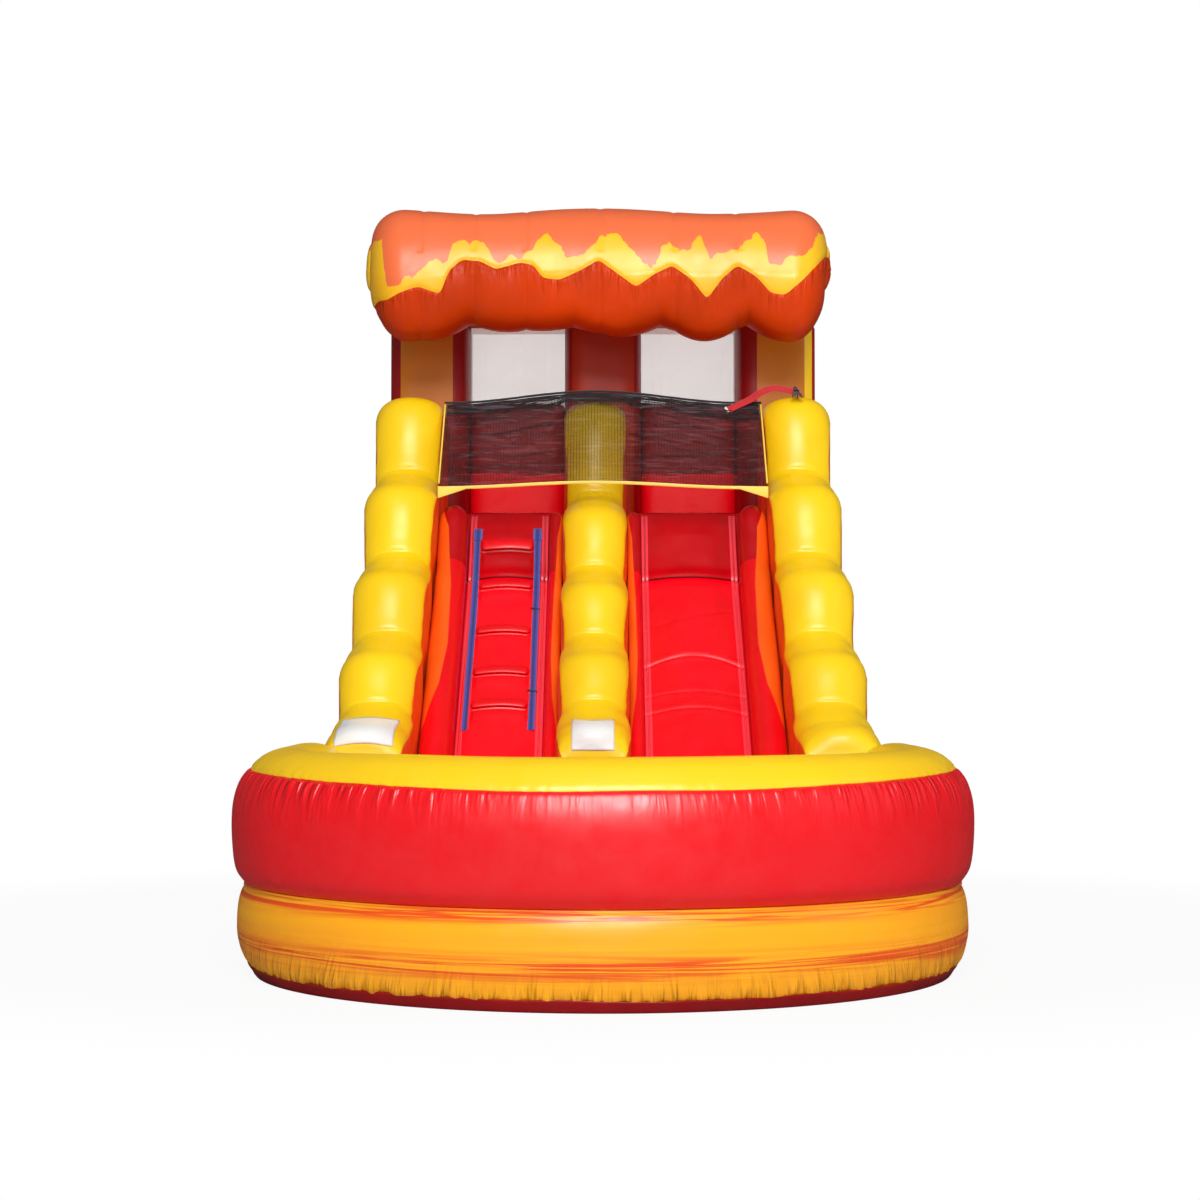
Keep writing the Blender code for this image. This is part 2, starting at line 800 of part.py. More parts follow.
def grid_net(name, columns, rows, place, strand, thickness, material):
    """A flat net: a grid of openings, each framed by strands, laid through place(across, up)."""
    bm = bmesh.new()
    bmesh.ops.create_grid(bm, x_segments=columns, y_segments=rows, size=0.5)
    for vert in bm.verts:
        vert.co = place(vert.co.x + 0.5, vert.co.y + 0.5)
    bm.normal_update()
    faces = list(bm.faces)
    bmesh.ops.inset_individual(bm, faces=faces, thickness=strand / 2, use_even_offset=True)
    bmesh.ops.delete(bm, geom=faces, context="FACES")
    net = add_object(name, bm, material)
    solidify = net.modifiers.new("thickness", "SOLIDIFY")
    solidify.thickness = thickness
    solidify.offset = 0.0
    solidify.use_even_offset = True
    return net


def net_lift_at(x):
    """How far the net rises where it drapes over the centre wall."""
    away = abs(x - centre_wall_x) / net_lift_half_width
    return net_lift * math.cos(math.pi * away / 2) ** 2 if away < 1 else 0.0


def make_front_net():
    hem_y = body_front_y + net_hem_run
    top_y = body_front_y + net_top_run
    side = wall_inner_x - gap
    net_side = side - 2 * piping_radius - gap
    low_z = net_hem_height + gap + net_thickness / 2
    rope_clear = top_rope_radius + top_rope_gap + net_thickness / 2
    high_z = net_top_height - rope_clear

    def place(across, up):
        x = -net_side + 2 * net_side * across
        lift = net_lift_at(x) * (hem_lift_share + (1 - hem_lift_share) * math.sin(math.pi * up / 2))
        return x, hem_y + (top_y - hem_y) * up, low_z + (high_z - low_z) * up + lift

    grid_net("front_net", net_columns, net_rows, place, net_strand, net_thickness, black)
    pipe_x = side - piping_radius
    low = piping_start_share
    for name, sign in (("left_net_piping", -1), ("right_net_piping", 1)):
        points = []
        for up in (low, 1.0):
            y = hem_y + (top_y - hem_y) * up
            points.append((sign * pipe_x, y, low_z + (high_z - low_z) * up))
        tube(name, points, piping_radius, 1, yellow)
    rope = []
    for step in range(net_columns + 1):
        x = -side + gap + 2 * (side - gap) * step / net_columns
        rope.append((x, top_y, net_top_height + net_lift_at(x)))
    tube("net_top_rope", rope, top_rope_radius, 1, black)
    hem_top = []
    for step in range(net_columns + 1):
        x = -net_side + 2 * net_side * step / net_columns
        hem_top.append((x, net_hem_height + hem_lift_share * net_lift_at(x)))
    hem_bottom = [(x, z - hem_depth) for x, z in hem_top if abs(x) < side - gusset_width]
    left_end = [(-side, net_hem_height), (-side, net_hem_height - gusset_depth)]
    right_end = [(side, net_hem_height - gusset_depth), (side, net_hem_height)]
    hem_outline = left_end + hem_bottom + right_end + list(reversed(hem_top))
    half = hem_thickness / 2
    prism("net_hem", hem_outline, hem_y - half, hem_y + half, "Y", yellow)
    rope_top = net_top_height + top_rope_radius + gap
    rest = wall_height + gap
    under = [
        (net_strap_start_x, rope_top), (net_strap_bend_x, rope_top),
        (net_strap_rest_x, rest), (net_strap_end_x, rest),
    ]
    over = [(x, z + net_strap_thickness) for x, z in reversed(under)]
    half = net_strap_width / 2
    prism("net_strap", under + over, top_y - half, top_y + half, "Y", red)
    half = keeper_width / 2
    keeper_low = rest + net_strap_thickness + gap
    box(
        "net_strap_keeper",
        (keeper_x - half, top_y - keeper_length / 2, keeper_low),
        (keeper_x + half, top_y + keeper_length / 2, keeper_low + keeper_thickness),
        black,
    )


def make_windows():
    y = panel_rear_y - rear_panel_depth / 2
    for name, side in (("left_window_net", -1), ("right_window_net", 1)):
        low, high = sorted((side * (window_half + gap), side * (column_inner_x - gap)))
        bottom = rear_panel_height + gap
        top = roof_base - gap

        def place(across, up):
            return low + (high - low) * across, y, bottom + (top - bottom) * up

        grid_net(name, window_columns, window_rows, place, window_strand, net_thickness, pale)


def make_sleeve():
    """The blower's inlet sleeve behind the right rear panel, with its clamp strap."""
    x = rear_bay_x
    z = base_thickness + sleeve_lift + sleeve_radius
    start = panel_rear_y + gap
    turn = Matrix.Rotation(-math.pi / 2, 4, "X")
    for name, radius, wall, low, high, material in (
        ("inlet_sleeve", sleeve_radius, sleeve_wall, start, start + sleeve_length, dark_red),
        (
            "sleeve_strap", sleeve_radius + gap + sleeve_strap_thickness, sleeve_strap_thickness,
            start + sleeve_strap_place, start + sleeve_strap_place + sleeve_strap_width, black,
        ),
    ):
        bm = bmesh.new()
        bmesh.ops.create_cone(
            bm, cap_ends=False, segments=sleeve_sides, radius1=radius, radius2=radius, depth=high - low,
            matrix=Matrix.Translation((x, (low + high) / 2, z)) @ turn,
        )
        obj = add_object(name, bm, material)
        solidify = obj.modifiers.new("wall", "SOLIDIFY")
        solidify.thickness = wall
        solidify.offset = -1.0
        solidify.use_even_offset = True


def make_zip():
    """Deflation zip behind the left rear panel: tape with teeth, slider, cover flap and its hem."""
    x = -rear_bay_x
    wall_y = panel_rear_y + gap
    half = zip_tape_length / 2
    tape_face = wall_y + zip_tape_thickness
    tape = box(
        "zip_tape", (x - half, wall_y, zip_height - zip_tape_width / 2),
        (x + half, tape_face, zip_height + zip_tape_width / 2), black,
    )
    teeth = box(
        "zip_teeth", (x - half + slider_inset, wall_y + zip_tape_thickness / 2, zip_height - zip_teeth_width / 2),
        (x + half - slider_inset, tape_face + zip_teeth_height, zip_height + zip_teeth_width / 2), None,
    )
    cut(tape, teeth, "UNION")
    slider_y = tape_face + zip_teeth_height + gap
    slider_x = x - half + slider_inset + slider_length / 2
    slider = box(
        "zip_slider", (-slider_length / 2, 0.0, -slider_width / 2),
        (slider_length / 2, slider_height, slider_width / 2), steel,
    )
    slider.location = (slider_x, slider_y, zip_height)
    pull = box(
        "zip_pull_shape", (-pull_width / 2, slider_height / 2, -pull_length),
        (pull_width / 2, slider_height / 2 + pull_thickness, 0.0), None,
    )
    pull.location = slider.location
    cut(slider, pull, "UNION")
    hem_low = zip_height + zip_tape_width / 2 + gap
    box(
        "zip_flap_hem", (x - flap_length / 2, wall_y, hem_low),
        (x + flap_length / 2, wall_y + flap_standoff, hem_low + flap_hem_width), dark_red,
    )
    bead_z = hem_low - gap - flap_bead_radius
    bead_y = wall_y + flap_standoff
    outline = []
    for step in range(7):
        angle = math.radians(30 * step)
        outline.append((flap_bead_radius * math.cos(angle), flap_bead_radius * math.sin(angle)))
    outline += [(-flap_thickness / 2, -flap_bead_radius), (-flap_thickness / 2, -flap_drop)]
    outline += [(flap_thickness / 2, -flap_drop), (flap_thickness / 2, -flap_bead_radius)]
    flap = prism("zip_flap", outline, -flap_length / 2, flap_length / 2, "X", dark_red)
    flap.location = (x, bead_y, bead_z)


def ring_mesh_points():
    """Centre line of a D-ring hung by its straight bar: bar, short sides and a half round."""
    points = [(0.0, 0.0, 0.0), (ring_half_width, 0.0, 0.0)]
    for step in range(ring_arc_steps + 1):
        angle = math.pi * step / ring_arc_steps
        x = ring_half_width * math.cos(angle)
        points.append((x, 0.0, -ring_straight - ring_half_width * math.sin(angle)))
    points.append((-ring_half_width, 0.0, 0.0))
    return points


def make_anchor(name, place, outward):
    """A tab sewn to the skin and the D-ring that swings in its webbing loop."""
    normal = Vector(outward)
    up = Vector((0.0, 0.0, 1.0))
    along = normal.cross(up)
    turn = Matrix((along, normal, up)).transposed().to_4x4()
    hole = ring_wire_radius + ring_hole_clearance
    outer = hole + webbing_thickness
    bar_out = patch_thickness + outer
    half = patch_side / 2
    tab = box(name + "_tab", (-half, 0.0, -half), (half, patch_thickness, half), black)
    tab.matrix_world = Matrix.Translation(place) @ turn
    stadium = [(patch_thickness / 2, -outer), (bar_out, -outer)]
    for step in range(1, webbing_sides // 2):
        angle = -math.pi / 2 + math.pi * step / (webbing_sides / 2)
        stadium.append((bar_out + outer * math.cos(angle), outer * math.sin(angle)))
    stadium += [(bar_out, outer), (patch_thickness / 2, outer)]
    loop = prism(name + "_loop", stadium, -webbing_half_width, webbing_half_width, "X", None)
    loop.matrix_world = tab.matrix_world
    cut(tab, loop, "UNION")
    bm = bmesh.new()
    bmesh.ops.create_cone(
        bm, cap_ends=True, segments=webbing_sides, radius1=hole / math.cos(math.pi / webbing_sides),
        radius2=hole / math.cos(math.pi / webbing_sides), depth=2 * (webbing_half_width + cutter_overrun),
        matrix=Matrix.Translation((0.0, bar_out, 0.0)) @ Matrix.Rotation(math.pi / 2, 4, "Y"),
    )
    bore = add_object(name + "_bore", bm, None)
    bore.matrix_world = tab.matrix_world
    cut(tab, bore)
    ring = tube(name + "_ring", ring_mesh_points(), ring_wire_radius, 1, steel, cyclic=True)
    ring.matrix_world = tab.matrix_world @ Matrix.Translation((0.0, bar_out, 0.0))


def make_anchors():
    side_y = body_front_y + pillar_length * 1.5
    upper_y = body_front_y + pillar_length * 3.5
    side_x = wall_outer_x + gap
    rear_x = column_outer_x - column_width / 2
    make_anchor("left_front_anchor", (-side_x, side_y, anchor_height), (-1.0, 0.0, 0.0))
    make_anchor("left_rear_anchor", (-side_x, upper_y, anchor_height), (-1.0, 0.0, 0.0))
    make_anchor("right_front_anchor", (side_x, side_y, anchor_height), (1.0, 0.0, 0.0))
    make_anchor("right_rear_anchor", (side_x, upper_y, anchor_height), (1.0, 0.0, 0.0))
    make_anchor("back_left_anchor", (-rear_x, body_rear_y + gap, anchor_height), (0.0, 1.0, 0.0))
    make_anchor("back_right_anchor", (rear_x, body_rear_y + gap, anchor_height), (0.0, 1.0, 0.0))


def main():
    make_pool()
    box(
        "body_base", (-column_outer_x, body_front_y, 0.0),
        (column_outer_x, body_rear_y, base_thickness), dark_red,
    )
    make_walls()
    make_lanes()
    make_ladder()
    make_platform()
    middles = make_tower()
    make_roof(middles)
    make_front_net()
    make_windows()
    make_sleeve()
    make_zip()
    make_anchors()


main()
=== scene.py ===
"""Looks of the inflatable water slide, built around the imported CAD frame. Metres, +Z up, pool towards -Y."""
import math

import bmesh
import bpy
import numpy as np
from bpy.props import FloatProperty, FloatVectorProperty, IntProperty, PointerProperty
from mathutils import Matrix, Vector
from mathutils.bvhtree import BVHTree


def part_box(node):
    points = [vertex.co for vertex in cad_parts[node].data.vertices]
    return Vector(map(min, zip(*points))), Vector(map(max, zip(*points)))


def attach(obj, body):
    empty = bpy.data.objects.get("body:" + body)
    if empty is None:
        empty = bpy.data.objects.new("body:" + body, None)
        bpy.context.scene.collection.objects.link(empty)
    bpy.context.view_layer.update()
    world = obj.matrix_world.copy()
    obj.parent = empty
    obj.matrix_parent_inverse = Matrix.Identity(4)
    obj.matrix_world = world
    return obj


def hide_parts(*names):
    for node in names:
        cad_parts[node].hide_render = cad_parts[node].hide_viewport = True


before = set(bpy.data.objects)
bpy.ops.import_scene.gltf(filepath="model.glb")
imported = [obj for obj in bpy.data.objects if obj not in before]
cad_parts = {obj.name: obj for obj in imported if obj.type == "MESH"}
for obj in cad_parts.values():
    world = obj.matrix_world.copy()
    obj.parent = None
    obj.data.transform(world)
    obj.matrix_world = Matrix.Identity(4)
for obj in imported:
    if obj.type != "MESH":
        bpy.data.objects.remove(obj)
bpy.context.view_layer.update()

bl_info = {
    "name": "Inflatable Water Slide",
    "version": (1, 0, 0),
    "blender": (4, 5, 0),
    "location": "View3D > Sidebar > Water Slide",
    "description": "Builds the vinyl chambers, nets, webbing and fittings of an inflatable water slide",
    "category": "Mesh",
}

BODY = "slide_body"

# Places read from the frame
WALL_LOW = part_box("left_wall")[0]
CENTRE_LOW, CENTRE_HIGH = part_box("centre_wall")
FRONT, FLOOR = WALL_LOW.y, WALL_LOW.z
BED_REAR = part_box("slide_bed_top")[1].y
COLUMN_LOW, COLUMN_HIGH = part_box("left_column")
REAR = COLUMN_HIGH.y
NET_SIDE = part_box("front_net")[1].x
GAP = 0.0003

# Stepped walls
PILLAR = 0.775
WALL_INNER, WALL_OUTER = 1.10, 1.58
WALL_HEIGHT, CENTRE_HEIGHT = 3.45, 3.43
WALL_CRESTS = (0.397, 0.519, 0.670, 0.843, 1.0)
CENTRE_CRESTS = (0.404, 0.520, 0.651, 0.804, 1.0)
CENTRE_TOP_PILLAR = 0.50
CENTRE_X, CENTRE_HALF = -0.055, 0.215

# Lanes
NOSE_HEIGHT, KINK_RUN, KINK_HEIGHT, CREST_RUN, DECK = 0.2125, 2.64, 2.13, 3.05, 2.62
LOW_SLOPE = (KINK_HEIGHT - NOSE_HEIGHT) / KINK_RUN
TOP_SLOPE = (DECK - KINK_HEIGHT) / (CREST_RUN - KINK_RUN)
KINK_SOFTNESS = 0.03
STRAP_X = (-0.838, -0.440)
STRAP_RUNS = (1.319, 2.944)
RUNG_SHARES = (0.119, 0.292, 0.515, 0.768, 0.933)
TIE_SHARES = (0.194, 0.641)
COVER_THICKNESS, WEB_THICKNESS = 0.003, 0.003

# Pool
POOL_LENGTH = 0.79
POOL_Y = FRONT - POOL_LENGTH
RING_RADIUS, RING_MIDDLE = 1.62, 3.33
RING_JOIN, RING_TOP = 0.472, 1.15
LOWER_HALF, UPPER_HALF = 0.27, 0.30
LOWER_SHARES = (
    (0.64, 0.0), (0.86, 0.12), (0.99, 0.38), (1.0, 0.60), (0.965, 0.80), (0.88, 0.94), (0.74, 1.0),
)
UPPER_SHARES = (
    (0.79, 0.0), (0.94, 0.11), (1.0, 0.32), (1.0, 0.54), (0.93, 0.70),
    (0.80, 0.81), (0.52, 0.93), (0.26, 0.985), (0.0, 1.0),
)

# Roof
ROOF_X, ROOF_HALF, ROOF_BASE, ROOF_RISE = -0.03, 1.62, 4.08, 0.77
ROOF_DEPTH, ROOF_END, ROOF_END_SHARE = 1.54, 0.26, 0.42
LOBE_DROP, CROWN_WAVE, REAR_SEAM, REAR_FLAME = 0.11, 0.02, 4.36, 0.10
LOBE_EDGES = (-1.0, -0.56, -0.11, 0.27, 0.64, 1.0)
LOBE_DEPTHS = (1.0, 0.35, 0.65, 0.90, 0.95)
ROOF_SECTION = (
    (0.02, 0.0, 0.0), (0.0, 0.16, 0.0), (0.0, 0.42, 0.0), (0.05, 0.68, 0.0), (0.20, 0.88, 0.0),
    (0.42, 0.98, 0.0), (0.64, 1.0, 0.0), (0.83, 0.88, 0.0), (0.95, 0.64, 0.1), (1.0, 0.35, 0.25),
    (0.99, 0.07, 0.6), (0.94, -0.09, 1.0), (0.84, -0.15, 1.0), (0.70, -0.09, 0.6), (0.56, 0.0, 0.0),
)
ROOF_STEPS = (3, 5, 5, 5, 5, 7, 9, 14, 20, 22, 20, 12, 8, 6, 12)
ROOF_FOLDS = (-1.65, -1.27, -0.90, -0.54, -0.02, 0.50, 0.94, 1.59)
SEAM_LINE = (
    (-1.66, 4.08), (-1.58, 4.13), (-1.50, 4.12), (-1.40, 4.17), (-1.28, 4.21), (-1.20, 4.18),
    (-1.12, 4.155), (-1.075, 4.31), (-0.98, 4.40), (-0.85, 4.39), (-0.74, 4.33), (-0.57, 4.38),
    (-0.48, 4.36), (-0.42, 4.27), (-0.30, 4.255), (-0.14, 4.33), (-0.03, 4.40), (0.10, 4.30),
    (0.23, 4.205), (0.36, 4.30), (0.48, 4.36), (0.61, 4.26), (0.72, 4.12), (0.82, 4.26), (0.93, 4.36),
    (1.06, 4.28), (1.16, 4.165), (1.26, 4.15), (1.39, 4.26), (1.50, 4.38), (1.60, 4.50),
)
FLAME_LINE = (
    (-1.66, 4.56), (-1.54, 4.56), (-1.525, 4.36), (-1.50, 4.22), (-1.43, 4.20), (-1.37, 4.27),
    (-1.31, 4.28), (-1.27, 4.32), (-1.20, 4.37), (-1.155, 4.41), (-1.11, 4.36), (-1.07, 4.40),
    (-1.045, 4.50), (-0.97, 4.53), (-0.92, 4.51), (-0.83, 4.545), (-0.80, 4.48), (-0.76, 4.40),
    (-0.71, 4.365), (-0.63, 4.435), (-0.59, 4.41), (-0.50, 4.46), (-0.45, 4.54), (-0.38, 4.58),
    (-0.33, 4.53), (-0.27, 4.44), (-0.19, 4.40), (-0.13, 4.43), (-0.09, 4.50), (-0.02, 4.57),
    (0.10, 4.60), (0.14, 4.53), (0.22, 4.45), (0.28, 4.37), (0.37, 4.365), (0.41, 4.49), (0.46, 4.54),
    (0.52, 4.46), (0.59, 4.465), (0.63, 4.53), (0.68, 4.61), (0.70, 4.50), (0.74, 4.41), (0.83, 4.45),
    (0.93, 4.475), (1.01, 4.54), (1.07, 4.60), (1.13, 4.53), (1.14, 4.37), (1.23, 4.36), (1.29, 4.41),
    (1.39, 4.43), (1.46, 4.48), (1.49, 4.62), (1.60, 4.64),
)

# Front net
NET_FRONT, NET_REAR = FRONT + 2.70, FRONT + 3.40
NET_FOOT, NET_TOP, NET_LIFT, NET_LIFT_HALF, HEM_LIFT = 2.78, 3.41, 0.080, 1.00, 0.45
THREAD_SIDES, NET_ASPECT, STITCH_WIDTH = 3, 2.4, 0.0012
NET_STEPS, WINDOW_STEPS = (140, 60), (60, 50)

# Colours of the lesser finishes
# Painted shade: the first two are the columns' yellow and orange as they look in the roof's shadow
SHADED_YELLOW, SHADED_ORANGE = (0.66, 0.20, 0.003), (0.50, 0.028, 0.002)
YELLOW_BINDING, RED_BINDING = (0.96, 0.72, 0.10), (0.90, 0.045, 0.075)
RED_WEBBING, STRAP_EDGE = (0.56, 0.008, 0.014), (0.16, 0.15, 0.52)
STITCH, STEEL = (0.82, 0.35, 0.28), (0.58, 0.58, 0.57)
FLAME_SHADE, FLAME_LIGHT = (0.95, 0.46, 0.004), (1.0, 0.58, 0.015)
# The second here is painted light: the lane cover's red brightened where the sun falls below the kink
MARBLE_SHADE, LIT_COVER = (0.93, 0.32, 0.006), (1.0, 0.0, 0.012)

# Fabric
COLOUR_EDGE, KINK_EDGE = 0.003, 0.006
SLACK_RELIEF, CREPE_RELIEF, SCRIM_RELIEF, YARN_RELIEF = 0.010, 0.002, 0.0004, 0.0006
DULL, GLOSSY = 0.42, 0.30


def length_property(label, text, default):
    return FloatProperty(name=label, description=text, default=default, unit="LENGTH")


class SlideSizes(bpy.types.PropertyGroup):
    """Sizes of the fabric's finer forms."""

    pucker_depth: length_property("Pucker depth", "How deep the gathers beside a seam are", 0.006)
    seam_depth: length_property("Seam depth", "How far a seam line lies below the fabric", 0.007)
    roof_fold_depth: length_property(
        "Roof fold depth", "How far the folds between the roof's lobes lie in", 0.026)
    lane_crown: length_property("Lane crown", "How far a lane's cover swells in its middle", 0.04)
    net_pitch: length_property("Net pitch", "Distance between the front net's rows of thread", 0.0082)
    net_thread: length_property("Net thread", "Radius of the front net's threads", 0.0016)
    window_pitch: length_property("Window pitch", "Distance between the window nets' threads", 0.0072)
    window_thread: length_property("Window thread", "Radius of the window nets' threads", 0.0020)
    stitch_length: length_property("Stitch length", "Length of one stitch", 0.007)
    stitch_pitch: length_property("Stitch pitch", "Distance from one stitch to the next", 0.011)
    tooth_pitch: length_property("Zip tooth pitch", "Distance from one zip tooth to the next", 0.005)
    seed: IntProperty(name="Seed", description="Seed of the random gathers", default=7)


def colour_property(label, text, default):
    return FloatVectorProperty(name=label, description=text, default=default, size=3, subtype="COLOR",
                               min=0, max=1)


class SlideColours(bpy.types.PropertyGroup):
    """Colours of the vinyl, webbing and nets."""

    yellow: colour_property("Yellow", "Fronts and tops of the walls", (1.0, 0.62, 0.003))
    orange: colour_property("Orange", "Sides of the walls and the bolsters", (1.0, 0.125, 0.006))
    red: colour_property("Red", "Lanes and the pool's upper ring", (0.84, 0.0, 0.006))
    dark_red: colour_property("Dark red", "Rear panels, column edges and hems", (0.34, 0.001, 0.004))
    salmon: colour_property("Salmon", "Top of the roof", (0.93, 0.17, 0.055))
    lobe_red: colour_property("Lobe red", "Front lobes of the roof", (0.62, 0.044, 0.002))
    marble: colour_property("Marble ground", "Ground of the pool's lower ring", (0.98, 0.43, 0.006))
    streak: colour_property("Marble streaks", "Streaks of the pool's lower ring", (0.76, 0.075, 0.006))
    blue: colour_property("Blue", "Hand straps", (0.045, 0.075, 0.42))
    black: colour_property("Black", "Net and webbing", (0.012, 0.009, 0.011))
    pale: colour_property("Pale", "Window nets and labels", (0.72, 0.71, 0.69))


def sizes():
    return bpy.context.scene.slide_sizes


def colours():
    return bpy.context.scene.slide_colours


# Noise and curves

def scattered(i, j, seed):
    """A number from 0 to 1 for each lattice point, always the same for the same seed."""
    n = (i * 374761393 + j * 668265263 + seed * 982451653) & 0x7FFFFFFF
    n = ((n ^ (n >> 13)) * 1274126177) & 0x7FFFFFFF
    return ((n ^ (n >> 16)) & 0xFFFF) / 65535.0


def soft_noise(u, v, seed):
    """Smooth random heights from 0 to 1 over a plane."""
    u, v = np.broadcast_arrays(np.asarray(u, float), np.asarray(v, float))
    i, j = np.floor(u).astype(np.int64), np.floor(v).astype(np.int64)
    s, t = u - i, v - j
    s, t = s * s * (3 - 2 * s), t * t * (3 - 2 * t)
    low = scattered(i, j, seed) * (1 - s) + scattered(i + 1, j, seed) * s
    high = scattered(i, j + 1, seed) * (1 - s) + scattered(i + 1, j + 1, seed) * s
    return low * (1 - t) + high * t


def wobble(u, v, seed):
    """Soft noise about zero, from a half down to a half up."""
    return soft_noise(u, v, seed) - 0.5


def bell(away, width):
    """1 at zero, falling off softly over a width."""
    return np.exp(-(away / width) ** 2)


def ramp(value, width):
    """0 up to zero, then rising evenly to 1 over a width."""
    return np.clip(value / width, 0, 1)


def round_end(end, radius):
    """How far a rounded end draws in, at a distance from its tip."""
    return radius * (1 - math.sqrt(max(0.0, 1 - max(0.0, 1 - end / radius) ** 2)))


def circle_turns(sides):
    return np.linspace(0, 2 * math.pi, sides, endpoint=False)


def gathers(along, away, spacing, reach, seed):
    """Short folds that run away from a seam: near 1 in a fold, fading out at unlike lengths."""
    length = reach * (0.35 + 1.2 * soft_noise(along / spacing * 0.6, 0.5, seed + 1))
    lean = 0.7 * soft_noise(along / spacing * 0.2, away / reach, seed + 2)
    fold = 1 - np.abs(2 * soft_noise(along / spacing + lean, 0.5, seed) - 1)
    return fold ** 2 * bell(away, length)


def line_height(table, x, soft=17):
    """Height of a drawn line at x, rounded between its points."""
    points = np.array(table)
    fine = np.linspace(points[0, 0], points[-1, 0], 1600)
    raw = np.interp(fine, points[:, 0], points[:, 1])
    kernel = np.hanning(soft)
    padded = np.pad(raw, soft // 2, mode="edge")
    return np.interp(x, fine, np.convolve(padded, kernel / kernel.sum(), "valid"))


def lengths_along(path):
    """Length from a path's start to each of its points."""
    return np.concatenate([[0], np.cumsum(np.linalg.norm(np.diff(path, axis=0), axis=1))])


def spline_stretch(before, start, end, after, t):
    """Points of a smooth line between start and end, for t from 0 to 1."""
    return 0.5 * (
        2 * start + (end - before) * t + (2 * before - 5 * start + 4 * end - after) * t ** 2
        + (3 * start - before - 3 * end + after) * t ** 3
    )


def closed_spline(points, steps):
    """A smooth closed line through points, with its own number of steps between each two."""
    points = np.asarray(points, float)
    made = []
    for index, count in enumerate(steps):
        corners = (points[(index + k) % len(points)] for k in (-1, 0, 1, 2))
        made.append(spline_stretch(*corners, (np.arange(count) / count)[:, None]))
    return np.concatenate(made)


def open_spline(points, count):
    """A smooth open line of evenly spaced points through a few."""
    points = np.asarray(points, float)
    ends = np.concatenate([[2 * points[0] - points[1]], points, [2 * points[-1] - points[-2]]])
    t = np.linspace(0, 1, 24, endpoint=False)[:, None]
    made = [spline_stretch(*ends[index - 1:index + 3], t) for index in range(1, len(ends) - 2)]
    line = np.concatenate(made + [points[-1:]])
    length = lengths_along(line)
    even = np.linspace(0, length[-1], count)
    return np.stack([np.interp(even, length, line[:, k]) for k in range(3)], axis=1)


def grid_normals(rows):
    """Unit normals of a grid of points that closes round, out of the ring."""
    across = np.roll(rows, -1, axis=1) - np.roll(rows, 1, axis=1)
    normal = np.cross(np.gradient(rows, axis=0), across)
    normal /= np.maximum(np.linalg.norm(normal, axis=2, keepdims=True), 1e-9)
    outward = rows - rows.mean(axis=1, keepdims=True)
    return -normal if (normal * outward).sum() < 0 else normal


def even_steps(start, end, count):
    """Points in a plane from start almost to end, count of them."""
    return [(start[0] + (end[0] - start[0]) * k / count, start[1] + (end[1] - start[1]) * k / count)
            for k in range(count)]


# Mesh building

def placed(name, data):
    """A new object in the scene, at the origin."""
    obj = bpy.data.objects.new(name, data)
    bpy.context.scene.collection.objects.link(obj)
    return obj


def shown_mesh(name, mesh, materials):
    for material in materials:
        mesh.materials.append(material)
    mesh.shade_smooth()
    return placed(name, mesh)


def face_outwards(mesh, merged=None):
    """Turn a closed mesh's faces out, after points closer than a distance are merged if asked."""
    bm = bmesh.new()
    bm.from_mesh(mesh)
    if merged:
        bmesh.ops.remove_doubles(bm, verts=bm.verts, dist=merged)
    bmesh.ops.recalc_face_normals(bm, faces=bm.faces)
    bm.to_mesh(mesh)
    bm.free()


def skin(name, rows, materials, around=True, capped=True, zones=None, marks=None):
    """A mesh over a grid of points, with a material zone per face and float marks per point."""
    rows = np.asarray(rows, float)
    count, ring = rows.shape[:2]
    i = np.arange(count - 1)[:, None] * ring
    j = np.arange(ring if around else ring - 1)[None, :]
    k = (j + 1) % ring
    quads = np.stack([i + j, i + k, i + ring + k, i + ring + j], axis=-1).reshape(-1, 4)
    faces = quads.tolist()
    if capped:
        faces += [list(range(ring)), list(range((count - 1) * ring, count * ring))]
    mesh = bpy.data.meshes.new(name)
    mesh.from_pydata(rows.reshape(-1, 3).tolist(), [], faces)
    for key, values in (marks or {}).items():
        mark = mesh.attributes.new(key, "FLOAT", "POINT")
        mark.data.foreach_set("value", np.broadcast_to(values, rows.shape[:2]).astype(np.float32).ravel())
    if zones is not None:
        index = np.zeros(len(faces), np.int32)
        index[:len(quads)] = np.broadcast_to(zones, (count - 1, j.shape[1])).ravel()
        mesh.polygons.foreach_set("material_index", index)
    if around:
        face_outwards(mesh)
    return shown_mesh(name, mesh, materials)


def joined(name, pieces):
    """Several made pieces as one mesh, with their materials kept."""
    materials = []
    for piece in pieces:
        for material in piece.data.materials:
            if material not in materials:
                materials.append(material)
    bm = bmesh.new()
    for piece in pieces:
        places = [materials.index(material) for material in piece.data.materials]
        start = len(bm.faces)
        bm.from_mesh(piece.data)
        bm.faces.ensure_lookup_table()
        for face in bm.faces[start:]:
            face.material_index = places[face.material_index]
    mesh = bpy.data.meshes.new(name)
    bm.to_mesh(mesh)
    bm.free()
    for piece in pieces:
        bpy.data.objects.remove(piece)
    return shown_mesh(name, mesh, materials)


def swept(name, path, side, up, profile, material, marks=None):
    """A closed profile of (side, up) points carried along a path."""
    profile = np.asarray(profile, float)
    rows = path[:, None] + side[:, None] * profile[:, :1] + up[:, None] * profile[:, 1:]
    return skin(name, rows, [material], marks=marks)


def path_frame(path, up):
    """Side and up vectors along a path, from one rough up vector or one for each point."""
    ahead = np.gradient(path, axis=0)
    ahead /= np.linalg.norm(ahead, axis=1, keepdims=True)
    up = np.broadcast_to(np.asarray(up, float), path.shape)
    side = np.cross(ahead, up)
    side /= np.linalg.norm(side, axis=1, keepdims=True)
    return side, np.cross(side, ahead)


